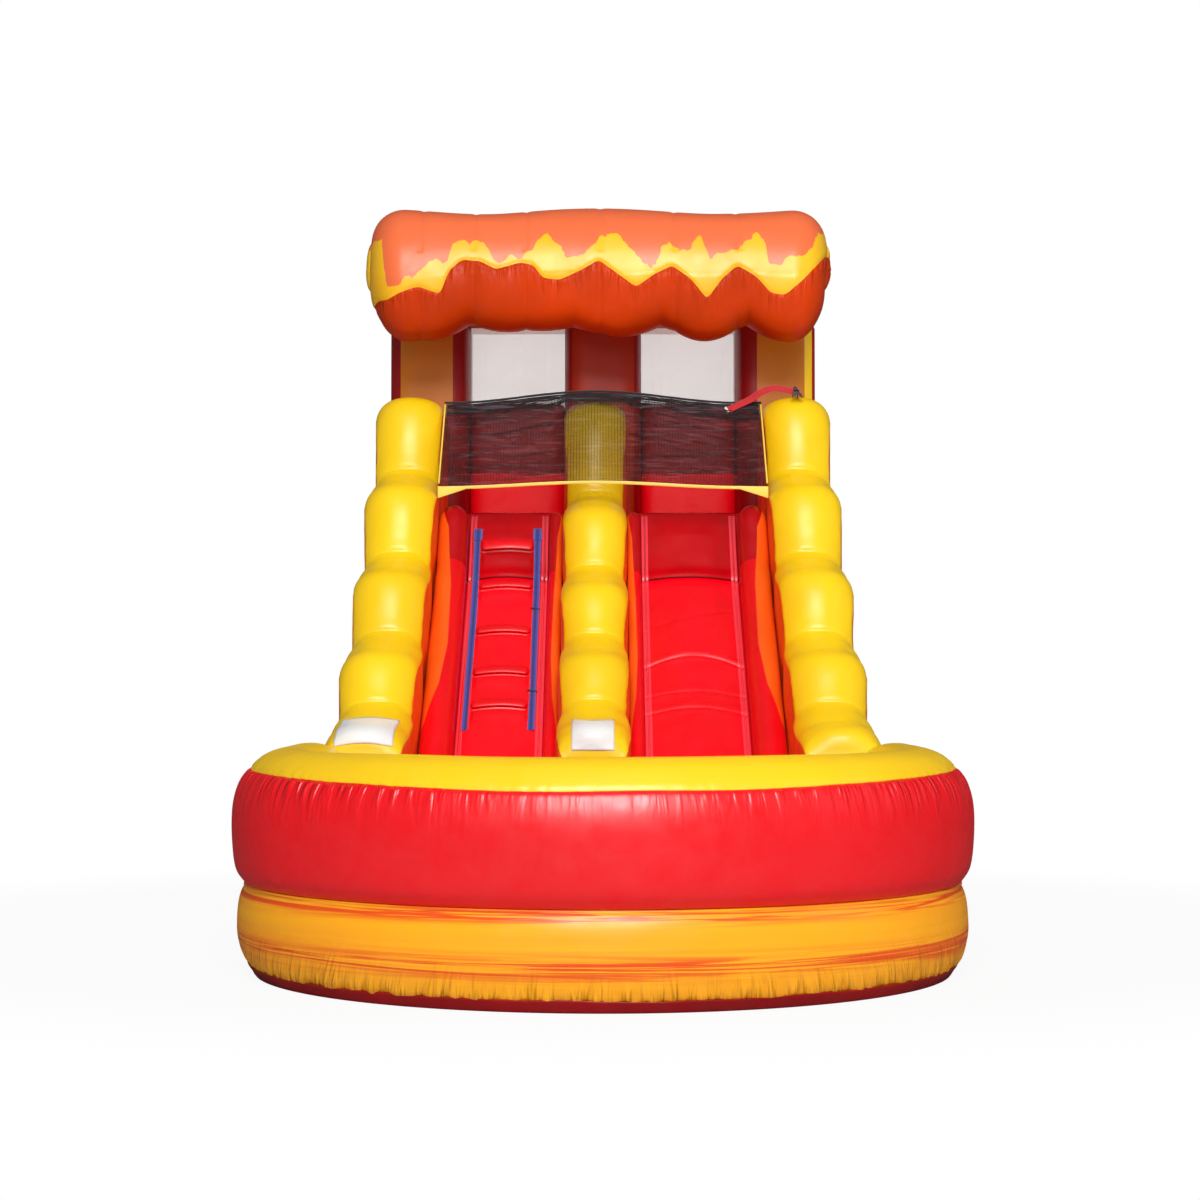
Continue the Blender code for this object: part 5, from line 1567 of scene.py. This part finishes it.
def net_point(across, up):
    """A point of the front net, sagging in shallow streaks between its edges."""
    x = -NET_SIDE + 2 * NET_SIDE * across
    low, high = NET_FOOT + 0.0018, NET_TOP - 0.0115
    z = low + (high - low) * up + net_lift(x) * (HEM_LIFT + (1 - HEM_LIFT) * np.sin(math.pi * up / 2))
    y = NET_FRONT + (NET_REAR - NET_FRONT) * up
    seed = sizes().seed
    streak = wobble(across * 5 + up * 2, up * 16 - across * 6, seed + 50)
    streak = streak + 0.6 * wobble(across * 9 - up * 3, up * 30 + across * 14, seed + 51)
    near_wall = ramp(np.abs(x - CENTRE_X) - 0.20, 0.12)
    edge = edge_fade(up, 8) * edge_fade(across, 20)
    push = 0.016 * edge * (streak * near_wall + 0.9 * (1 - near_wall))
    return np.stack([x + 0 * y, y - 0.67 * push, z + 0.74 * push], axis=-1)


def net_lines(point, columns, rows, steps):
    """The threads of a net as lines, down and across."""
    across, up = (np.linspace(0, 1, count) for count in steps)
    lines = [point(np.full(steps[1], share), up) for share in np.linspace(0, 1, columns)]
    return lines + [point(across, np.full(steps[0], share)) for share in np.linspace(0, 1, rows)]


def make_front_net():
    mat = finishes()
    width = 2 * NET_SIDE
    length = math.hypot(NET_REAR - NET_FRONT, NET_TOP - NET_FOOT)
    pitch = sizes().net_pitch
    lines = net_lines(net_point, round(width / pitch / NET_ASPECT), round(length / pitch), NET_STEPS)
    net = thread_net("front_net_threads", lines, sizes().net_thread, mat["thread"])
    own(net, ["front_net"], "black_webbing")
    extra = []
    shares = np.linspace(0.004, 0.996, 180)
    reach = np.clip((np.abs(shares - 0.5 - CENTRE_X / width) - 0.06) / 0.06, 0.72, 1)
    for row in range(BAND_ROWS):
        depth = BAND_DEPTH * (row / BAND_ROWS) ** 1.3 * reach
        line = net_point(shares, 0.998 - depth * (0.8 + 0.5 * soft_noise(shares * 9, row * 0.2, 61)))
        ruffle = 0.010 * (soft_noise(shares * 22, row * 0.6, 63) - 0.2)
        line[:, 1] -= ruffle
        line[:, 2] += 0.4 * ruffle
        extra.append(line)
    band = thread_net("front_net_top_band", extra, sizes().net_thread * 1.15, mat["thread"])
    own(band, [], "black_webbing")
    x = np.linspace(-HEM_SIDE, HEM_SIDE, 260)
    top = NET_FOOT + HEM_LIFT * net_lift(x)
    drop = HEM_DEPTH + (HEM_END_DEPTH - HEM_DEPTH) * ramp(np.abs(x) - (HEM_SIDE - HEM_END), HEM_END)
    sway = 0.003 * wobble(x * 14, 0.5, 62)
    rows = [np.stack([x, NET_FRONT + depth + sway, top - drop * share], axis=1)
            for depth, share in HEM_SECTION]
    hem = skin("net_hem_band", np.array(rows).transpose(1, 0, 2), [mat["piping"]])
    own(hem, ["net_hem"], "yellow_vinyl")
    lines = [np.stack([x, NET_FRONT + HEM_SEWING + sway, level], axis=1)[4:-4]
             for level in (top - 0.006, top - drop + 0.005)]
    own(stitches("net_hem_stitching", lines, mat["stitch"]), [], "yellow_vinyl")
    for node, sign in (("left_net_piping", -1), ("right_net_piping", 1)):
        path = net_point(np.full(60, (1 + sign) / 2), np.linspace(0.03, 1.0, 60))
        path[:, 0] = sign * PIPING_X
        own(cord_piece(node + "_cord", path, PIPING_RADIUS, mat["piping"]), [node], "yellow_vinyl")
    x = np.linspace(-ROPE_SIDE, ROPE_SIDE, 200)
    height = NET_TOP + net_lift(x) + 0.002 * soft_noise(x * 20, 0.5, 63)
    rope = cord_piece("net_top_rope_cord", np.stack([x, np.full(200, NET_REAR), height], axis=1), ROPE_RADIUS,
                      mat["black"])
    own(rope, ["net_top_rope"], "black_webbing")


def make_net_strap():
    """The strap from the net over the right wall, and the dark cord knotted round it."""
    mat = finishes()
    path = open_spline([(x, NET_REAR - 0.045 + 0.03 * (x - 0.855), z) for x, z in STRAP_PATH], 60)
    strap = webbing("net_strap_web", path, STRAP_FACE, 0.060, 0.005, mat["red_webbing"])
    tip_path = path[:3] - np.array([0.006, 0.0015, 0.0])
    tip = webbing("net_strap_tip", tip_path, STRAP_FACE, 0.062, 0.006, mat["label"])
    own(joined("net_strap_piece", [strap, tip]), ["net_strap"], "red_vinyl")
    knot = np.array([1.335, NET_REAR - 0.03, 3.478])
    x, y, z = knot
    turn = circle_turns(40)
    pieces = []
    for shift in (-0.007, 0.0, 0.007):
        loop = np.stack([np.full(40, x + shift), y + 0.031 * np.cos(turn), z + 0.0035 * np.sin(turn)], axis=1)
        loop = np.vstack([loop, loop[:1]])
        pieces.append(cord_piece("keeper_turn", loop, 0.004, mat["black"], up=(1, 0, 0)))
    pieces.append(cord_piece("keeper_knot", open_spline(knot + KNOT, 40), 0.008, mat["black"]))
    pieces.append(cord_piece("keeper_loop", open_spline(knot + KNOT_LOOP, 40), 0.005, mat["black"]))
    for shift, drop in TAIL_ENDS:
        tail = [(x, y - 0.040, z), (x + shift * 0.7, y - 0.100, z - drop * 0.35),
                (x + shift, y - 0.160, z - drop)]
        pieces.append(cord_piece("keeper_tail", open_spline(tail, 24), 0.0055, mat["black"]))
    own(joined("net_strap_keeper_cord", pieces), ["net_strap_keeper"], "black_webbing")


def make_windows():
    mat = finishes()
    for number, side in enumerate(("left", "right")):
        node = side + "_window_net"
        low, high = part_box(node)
        width, length = high.x - low.x, high.z - low.z
        middle = (low.y + high.y) / 2

        def point(across, up):
            wrinkle = wobble(across * 2 + up * 3, up * 7 - across * 5, 70 + number)
            wrinkle = wrinkle + 0.5 * wobble(across * 6 + up * 9, up * 17 - across * 9, 72 + number)
            y = middle + 0.020 * wrinkle * (edge_fade(up, 10) * edge_fade(across, 10))
            return np.stack([low.x + width * across, y, low.z + length * up], axis=-1)

        pitch = sizes().window_pitch
        lines = net_lines(point, round(width / pitch), round(length / pitch), WINDOW_STEPS)
        net = thread_net(node + "_threads", lines, sizes().window_thread, mat["pale"])
        own(net, [node], "pale_net")


# Fittings at the rear and the sides

SLEEVE_WALL, SLEEVE_ROOM, STRAP_INSET = 0.003, 0.006, 0.012
CLAMP_REACH, CLAMP_SQUEEZE, CLAMP_RUFFLE, SLEEVE_SAG = 0.05, 0.010, 0.012, 0.010
CLAMP_HALF, CLAMP_INSET = 0.017, 0.016
CLAMP_WIDTH, TAIL_WIDTH, TAIL_RISE = 0.030, 0.028, 0.018
BUCKLE_X, BUCKLE_Y, BUCKLE_RISE = 0.02, 0.019, 0.006
PATCH_LAYERS = ((-1, 1.0), (-0.8, 0.2), (-0.3, 0.0), (0.3, 0.0), (0.8, 0.2), (0.97, 0.7), (1.0, 1.5))
BEAD, FLAP_HALF, FLAP_FOOT = 0.004, 0.0015, 0.083
TAB_HALF, TAB_THICKNESS, TAB_HOLE, TAB_WEB = 0.05, 0.004, 0.0047, 0.003
SEWN_X, SEWN_LOW, SEWN_HIGH, SEWN_LIFT = 0.015, 0.018, 0.041, 0.0068
ANCHORS = {
    "left_front": (-1, 0), "left_rear": (-1, 0), "right_front": (1, 0), "right_rear": (1, 0),
    "back_left": (0, 1), "back_right": (0, 1),
}


def make_sleeve():
    """The blower's slack inlet sleeve and its clamp strap with a buckle."""
    mat = finishes()
    low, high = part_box("inlet_sleeve")
    x, z, radius = (low.x + high.x) / 2, (low.z + high.z) / 2, (high.z - low.z) / 2
    strap_low, strap_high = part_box("sleeve_strap")
    clamp = (strap_low.y + strap_high.y) / 2

    def rings(size, along, around):
        return np.stack([x + size * np.cos(around), along + 0 * size, z + size * np.sin(around)], axis=-1)

    near_clamp = clamp + np.linspace(-CLAMP_REACH, CLAMP_REACH, 40)
    y = np.unique(np.concatenate([np.linspace(low.y, high.y, 70), near_clamp]))
    along, around = y[:, None], circle_turns(140)[None, :]
    near = bell(along - clamp, CLAMP_REACH)
    ruffle = soft_noise(around * 140 / (2 * math.pi) / 4.0, 0.5, 80)
    ruffle[:, -4:] = ruffle[:, :1]
    sag = SLEEVE_SAG * soft_noise(np.cos(around) * 2 + 5, along * 9 + np.sin(around), 81)
    size = radius - SLEEVE_ROOM - sag - near * (CLAMP_SQUEEZE + CLAMP_RUFFLE * ruffle)
    size = np.where(np.abs(along - clamp) < CLAMP_HALF, np.minimum(size, radius - CLAMP_INSET), size)
    outer, inner = rings(size, along, around), rings(size - SLEEVE_WALL, along, around)
    rows = np.concatenate([outer, inner[::-1], outer[:1]])
    sleeve = skin("inlet_sleeve_cloth", rows, [mat["dark_red"]], capped=False)
    face_outwards(sleeve.data, merged=1e-6)
    own(sleeve, ["inlet_sleeve"], "dark_red_vinyl")
    band, centre = radius - STRAP_INSET, np.array([x, clamp, z])
    path = rings(band, np.full(97, clamp), np.linspace(0, 2 * math.pi, 97))
    strap = webbing("sleeve_strap_web", path, path - centre, CLAMP_WIDTH, WEB_THICKNESS, mat["black"])
    lifted = band + 0.004 + np.linspace(0, TAIL_RISE, 30)
    tail = rings(lifted, np.full(30, clamp), np.linspace(math.pi / 2, 0.9, 30))
    end = webbing("sleeve_strap_tail", tail, tail - centre, TAIL_WIDTH, WEB_THICKNESS, mat["black"])
    corners = [(-BUCKLE_X, -BUCKLE_Y), (BUCKLE_X, -BUCKLE_Y), (BUCKLE_X, BUCKLE_Y), (-BUCKLE_X, BUCKLE_Y)]
    level = z + band + BUCKLE_RISE
    points = [(x + a, clamp + b, level) for a, b in side_outline(corners)]
    buckle = cord_piece("sleeve_buckle", points + points[:1], 0.0032, mat["steel"], up=(0, 0, 1))
    bar_ends = [(x, clamp - BUCKLE_Y, level), (x, clamp + BUCKLE_Y, level)]
    bar = cord_piece("sleeve_bar", bar_ends, 0.003, mat["steel"], up=(0, 0, 1))
    own(joined("sleeve_strap_piece", [strap, end, buckle, bar]), ["sleeve_strap"], "black_webbing")


def flat_patch(name, low, high, material, rounding, soft):
    """A thin block with rounded corners and soft edges, flat against a face across its thinnest axis."""
    low, high = np.array(low, float), np.array(high, float)
    thin = int(np.argmin(high - low))
    flat = [axis for axis in range(3) if axis != thin]
    half, middle = (high - low) / 2, (high + low) / 2
    turn = circle_turns(96)
    circle = np.stack([np.cos(turn), np.sin(turn)], axis=1)
    box_line = circle / np.maximum(np.abs(np.cos(turn)), np.abs(np.sin(turn)))[:, None]
    core = half[flat] - rounding
    line = np.clip(box_line * half[flat], -core, core) + circle * rounding
    length = np.linalg.norm(line, axis=1, keepdims=True)
    rows = []
    for lift, inset in PATCH_LAYERS:
        ring = np.zeros((len(line), 3))
        ring[:, flat] = middle[flat] + line * (1 - soft * inset / length)
        ring[:, thin] = middle[thin] + lift * half[thin]
        rows.append(ring)
    return skin(name, rows, [material])


def sewn_rows(low_x, high_x, y, levels):
    """Straight level lines for a fitting's stitching."""
    return [[(low_x, y, z), (high_x, y, z)] for z in levels]


def make_zip():
    """Deflation zip: woven tape with teeth, sewn hem and the cover flap that lifts."""
    mat = finishes()
    low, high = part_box("zip_tape")
    face, middle = low.y + 0.002, (low.z + high.z) / 2
    tape = flat_patch("zip_tape_web", low, (high.x, face, high.z), mat["black"], 0.004, 0.0006)
    own(tape, ["zip_tape"], "black_webbing")
    for row, shift in ((1, 0.0), (-1, 0.5)):
        start = low.x + 0.010 + shift * sizes().tooth_pitch
        line = sewn_rows(start, high.x - 0.010, face + 0.0013, [middle + row * 0.0018])
        teeth = stitches(f"zip_teeth_{row}", line, mat["black"], 0.0024, sizes().tooth_pitch, 0.0026)
        own(teeth, [], "black_webbing")
    lines = sewn_rows(low.x + 0.004, high.x - 0.004, face + 0.0004, (low.z + 0.004, high.z - 0.004))
    own(stitches("zip_tape_stitching", lines, mat["stitch"]), [], "black_webbing")
    low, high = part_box("zip_flap_hem")
    hem = flat_patch("zip_flap_hem_band", low, high, mat["dark_red"], 0.006, 0.002)
    own(hem, ["zip_flap_hem"], "dark_red_vinyl")
    low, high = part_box("zip_flap")
    bead_y, bead_z = (low.y + high.y) / 2, high.z - BEAD
    profile = [(BEAD * math.cos(a), BEAD * math.sin(a)) for a in np.radians(np.linspace(0, 180, 13))]
    profile += [(-FLAP_HALF, -z) for z in np.linspace(BEAD, FLAP_FOOT, 24)]
    profile += [(-0.0008, -0.0848), (0.0008, -0.0848)]
    profile += [(FLAP_HALF, -z) for z in np.linspace(FLAP_FOOT, BEAD, 24)]
    across, down = np.array(profile).T
    rows = []
    for x in np.linspace(low.x, high.x, 120):
        sway = 0.0025 * wobble(x * 14, down * 20, 90) * ramp(-down, 0.05)
        rows.append(np.column_stack([np.full(len(down), x), bead_y + across + sway, bead_z + down]))
    flap = skin("zip_flap_cloth", rows, [mat["dark_red"]])
    own(flap, ["zip_flap"], "dark_red_vinyl", body="flap")
    lines = sewn_rows(low.x + 0.006, high.x - 0.006, bead_y + 0.0022, (bead_z - 0.010, bead_z - 0.078))
    sewn = own(stitches("zip_flap_stitching", lines, mat["stitch"]), [], "dark_red_vinyl", body="flap")
    plate_steel("zip_slider")


def plate_steel(node):
    """The fitting keeps the frame's solid and gets the better steel."""
    for part in bpy.data.objects[node].material_slots:
        part.material = finishes()["steel"]


def make_anchors():
    """Sewn tabs with webbing loops; their steel rings keep the frame's solids."""
    mat = finishes()
    rise = np.array([0.0, 0.0, 1.0])
    bar = TAB_THICKNESS + TAB_HOLE + TAB_WEB
    reach = TAB_HOLE + TAB_WEB / 2
    arc = [(bar + reach * math.sin(a), -reach * math.cos(a)) for a in np.linspace(0, math.pi, 15)]
    leg = [(0.0048, 0.0440), (0.0052, 0.030), (0.0055, 0.014), (0.0070, 0.0075), (0.0095, reach)]
    line = [(a, -b) for a, b in leg] + arc + leg[::-1]
    for name, outward in ANCHORS.items():
        low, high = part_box(name + "_anchor_tab")
        out = np.array([*outward, 0.0])
        along = np.cross(out, rise)
        base = np.array((low + high) / 2)
        axis = 0 if outward[0] else 1
        base[axis] = low[axis] if outward[axis] > 0 else high[axis]
        corner = np.abs(along) * TAB_HALF + rise * TAB_HALF
        ends = (base - corner, base + corner + out * TAB_THICKNESS)
        patch = flat_patch("tab_patch", np.minimum(*ends), np.maximum(*ends), mat["dark_red"], 0.012, 0.0012)
        points = np.array([base + out * a + rise * b for a, b in line])
        up = points - (base + out * bar)
        up[:5] = up[-5:] = out
        up[3:5] = out * 0.3 - rise
        up[-5:-3] = out * 0.3 + rise
        loop = webbing("tab_loop", points, up, 0.036, TAB_WEB, mat["black"])
        own(joined(name + "_anchor_piece", [patch, loop]), [name + "_anchor_tab"], "black_webbing")

        def sewn(a, b):
            return base + out * SEWN_LIFT + along * a + rise * b

        sides, pairs = (-SEWN_X, SEWN_X), ((-SEWN_HIGH, -SEWN_LOW), (SEWN_LOW, SEWN_HIGH))
        lines = [[sewn(a, b) for a in sides] for pair in pairs for b in pair]
        lines += [[sewn(a, b) for b in pair] for a in sides for pair in pairs]
        own(stitches(name + "_anchor_stitching", lines, mat["stitch"], 0.004, 0.006), [], "black_webbing")
        plate_steel(name + "_anchor_ring")


# Stage

LIGHTS = {
    "key": ((0.4, -26.0, 20.0), (0, 0, 1.8), (14.0, 14.0), 7500.0),
    "front": ((0.0, -16.0, 5.5), (0, 0, 1.8), (7.0, 4.0), 300.0),
    "top": ((0.0, -5.0, 13.0), (0, -1.0, 1.5), (5.0, None), 100.0),
    "side": ((11.0, -5.0, 6.0), (0, 0, 1.5), (5.0, None), 220.0),
    "rear": ((-3.0, 14.0, 7.0), (0, 2.0, 2.0), (6.0, None), 520.0),
}
SKY_LIGHT, SKY_GLOSS = 0.33, 0.05
FLOOR_REACH = 90.0


def floor_finish():
    """A pale floor that the camera sees nearly white, with its shadows kept."""
    finish = Finish("studio floor", (0.62, 0.62, 0.62), 0.9)
    glow = finish.node("ShaderNodeEmission", Color=(1.0, 1.0, 1.0, 1.0), Strength=1.0)
    rays = finish.node("ShaderNodeLightPath").outputs
    away = finish.node("ShaderNodeVectorMath", {"operation": "LENGTH"}, i0=finish.place).outputs["Value"]
    far = finish.ramp(away, 3.4, 6.0, 0.92, 1.0, kind="SMOOTHSTEP")
    dim = finish.ramp(rays["Is Glossy Ray"], 0.0, 1.0, 0.62, 0.05)
    finish.set("Base Color", finish.vector(dim, dim, dim))
    both = finish.node("ShaderNodeMixShader", i0=finish.times(rays["Is Camera Ray"], far),
                       i1=finish.shader.outputs[0], i2=glow.outputs[0])
    finish.tree.links.new(both.outputs[0], finish.tree.nodes["Material Output"].inputs["Surface"])
    return finish.material


def area_light(name, place, aim, size, power):
    """A soft light aimed at a point; only the key light shows in glossy surfaces."""
    data = bpy.data.lights.new(name, "AREA")
    data.shape, data.size, data.energy = "RECTANGLE" if size[1] else "DISK", size[0], power
    if size[1]:
        data.size_y = size[1]
    lamp = placed(name, data)
    lamp.location = place
    lamp.visible_glossy = name == "key"
    lamp.rotation_euler = (Vector(aim) - Vector(place)).to_track_quat("-Z", "Y").to_euler()


def make_world():
    """A white sky whose light is dim, dimmer in glossy surfaces and full behind the slide."""
    world = bpy.data.worlds.new("studio")
    world.use_nodes = True
    tree = world.node_tree
    rays = tree.nodes.new("ShaderNodeLightPath").outputs
    gloss, seen = (tree.nodes.new("ShaderNodeMix") for _ in range(2))
    tree.links.new(rays["Is Glossy Ray"], gloss.inputs["Factor"])
    gloss.inputs["A"].default_value, gloss.inputs["B"].default_value = SKY_LIGHT, SKY_GLOSS
    tree.links.new(rays["Is Camera Ray"], seen.inputs["Factor"])
    tree.links.new(gloss.outputs[0], seen.inputs["A"])
    seen.inputs["B"].default_value = 1.0
    background = tree.nodes["Background"]
    background.inputs["Color"].default_value = (1.0, 1.0, 1.0, 1.0)
    tree.links.new(seen.outputs[0], background.inputs["Strength"])
    bpy.context.scene.world = world


def make_camera():
    """The photograph's camera."""
    data = bpy.data.cameras.new("photo_camera")
    data.sensor_fit, data.sensor_width, data.lens = "HORIZONTAL", 36.0, 75.0
    data.shift_x = -3 / 1200
    camera = placed("photo_camera", data)
    camera.location = (0.0, -15.22, 1.53)
    camera.rotation_euler = (math.radians(91.695), 0.0, 0.0)
    bpy.context.scene.camera = camera


def make_stage():
    mesh = bpy.data.meshes.new("studio_floor")
    corners = [(x * FLOOR_REACH, y * FLOOR_REACH, 0) for x, y in ((-1, -1), (1, -1), (1, 1), (-1, 1))]
    mesh.from_pydata(corners, [], [(0, 1, 2, 3)])
    shown_mesh("studio_floor", mesh, [floor_finish()])
    for name, (place, aim, size, power) in LIGHTS.items():
        area_light(name, place, aim, size, power)
    make_world()
    make_camera()
    bpy.context.scene.view_settings.view_transform = "Standard"


# Operators

class SLIDE_OT_bases(bpy.types.Operator):
    """Make the base sheets under the pool and the body"""
    bl_idname = "water_slide.bases"
    bl_label = "Base sheets"

    def execute(self, context):
        make_bases()
        return {"FINISHED"}


class SLIDE_OT_pool(bpy.types.Operator):
    """Make the pool's two ring chambers"""
    bl_idname = "water_slide.pool"
    bl_label = "Pool rings"

    def execute(self, context):
        make_pool()
        return {"FINISHED"}


class SLIDE_OT_walls(bpy.types.Operator):
    """Make the two side walls and the centre wall"""
    bl_idname = "water_slide.walls"
    bl_label = "Stepped walls"

    def execute(self, context):
        make_walls()
        return {"FINISHED"}


class SLIDE_OT_labels(bpy.types.Operator):
    """Lay the blank patches on the walls' fronts"""
    bl_idname = "water_slide.labels"
    bl_label = "Blank patches"

    def execute(self, context):
        make_labels()
        return {"FINISHED"}


class SLIDE_OT_beds(bpy.types.Operator):
    """Make the bed chambers and the platform"""
    bl_idname = "water_slide.beds"
    bl_label = "Beds and platform"

    def execute(self, context):
        make_beds()
        return {"FINISHED"}


class SLIDE_OT_covers(bpy.types.Operator):
    """Lay the two lane covers with their edge strips"""
    bl_idname = "water_slide.covers"
    bl_label = "Lane covers"

    def execute(self, context):
        make_covers()
        return {"FINISHED"}


class SLIDE_OT_bolsters(bpy.types.Operator):
    """Make the four side bolsters"""
    bl_idname = "water_slide.bolsters"
    bl_label = "Bolsters"

    def execute(self, context):
        make_bolsters()
        return {"FINISHED"}


class SLIDE_OT_ladder(bpy.types.Operator):
    """Make the hand straps, rungs and ties"""
    bl_idname = "water_slide.ladder"
    bl_label = "Climbing ladder"

    def execute(self, context):
        make_ladder()
        return {"FINISHED"}


class SLIDE_OT_tower(bpy.types.Operator):
    """Make the columns and rear panels"""
    bl_idname = "water_slide.tower"
    bl_label = "Columns and panels"

    def execute(self, context):
        make_tower()
        return {"FINISHED"}


class SLIDE_OT_roof(bpy.types.Operator):
    """Make the wave-shaped roof"""
    bl_idname = "water_slide.roof"
    bl_label = "Wave roof"

    def execute(self, context):
        make_roof()
        return {"FINISHED"}


class SLIDE_OT_front_net(bpy.types.Operator):
    """Make the front net with its hem, pipings, rope and strap"""
    bl_idname = "water_slide.front_net"
    bl_label = "Front net"

    def execute(self, context):
        make_front_net()
        make_net_strap()
        return {"FINISHED"}


class SLIDE_OT_windows(bpy.types.Operator):
    """Make the two window nets"""
    bl_idname = "water_slide.windows"
    bl_label = "Window nets"

    def execute(self, context):
        make_windows()
        return {"FINISHED"}


class SLIDE_OT_sleeve(bpy.types.Operator):
    """Make the blower inlet sleeve and its strap"""
    bl_idname = "water_slide.sleeve"
    bl_label = "Inlet sleeve"

    def execute(self, context):
        make_sleeve()
        return {"FINISHED"}


class SLIDE_OT_zip(bpy.types.Operator):
    """Make the deflation zip and its flap"""
    bl_idname = "water_slide.zip"
    bl_label = "Deflation zip"

    def execute(self, context):
        make_zip()
        return {"FINISHED"}


class SLIDE_OT_anchors(bpy.types.Operator):
    """Make the anchor tabs"""
    bl_idname = "water_slide.anchors"
    bl_label = "Anchor tabs"

    def execute(self, context):
        make_anchors()
        return {"FINISHED"}


class SLIDE_OT_stage(bpy.types.Operator):
    """Set up the floor, lights and camera"""
    bl_idname = "water_slide.stage"
    bl_label = "Stage"

    def execute(self, context):
        make_stage()
        return {"FINISHED"}


OPERATORS = (
    SLIDE_OT_bases, SLIDE_OT_pool, SLIDE_OT_walls, SLIDE_OT_labels, SLIDE_OT_beds, SLIDE_OT_covers,
    SLIDE_OT_bolsters, SLIDE_OT_ladder, SLIDE_OT_tower, SLIDE_OT_roof, SLIDE_OT_front_net, SLIDE_OT_windows,
    SLIDE_OT_sleeve, SLIDE_OT_zip, SLIDE_OT_anchors, SLIDE_OT_stage,
)


class SLIDE_PT_panel(bpy.types.Panel):
    """Sizes, colours and build steps of the water slide"""
    bl_idname = "SLIDE_PT_panel"
    bl_label = "Water Slide"
    bl_space_type = "VIEW_3D"
    bl_region_type = "UI"
    bl_category = "Water Slide"

    def draw(self, context):
        for settings in (context.scene.slide_sizes, context.scene.slide_colours):
            column = self.layout.column(align=True)
            for key in settings.__annotations__:
                column.prop(settings, key)
        column = self.layout.column(align=True)
        for operator in OPERATORS:
            column.operator(operator.bl_idname)


CLASSES = (SlideSizes, SlideColours, *OPERATORS, SLIDE_PT_panel)


def register():
    for made in CLASSES:
        bpy.utils.register_class(made)
    bpy.types.Scene.slide_sizes = PointerProperty(type=SlideSizes)
    bpy.types.Scene.slide_colours = PointerProperty(type=SlideColours)


def unregister():
    del bpy.types.Scene.slide_colours
    del bpy.types.Scene.slide_sizes
    for made in reversed(CLASSES):
        bpy.utils.unregister_class(made)


def main():
    register()
    for operator in OPERATORS:
        getattr(bpy.ops.water_slide, operator.bl_idname.split(".")[1])()


if __name__ == "__main__":
    main()
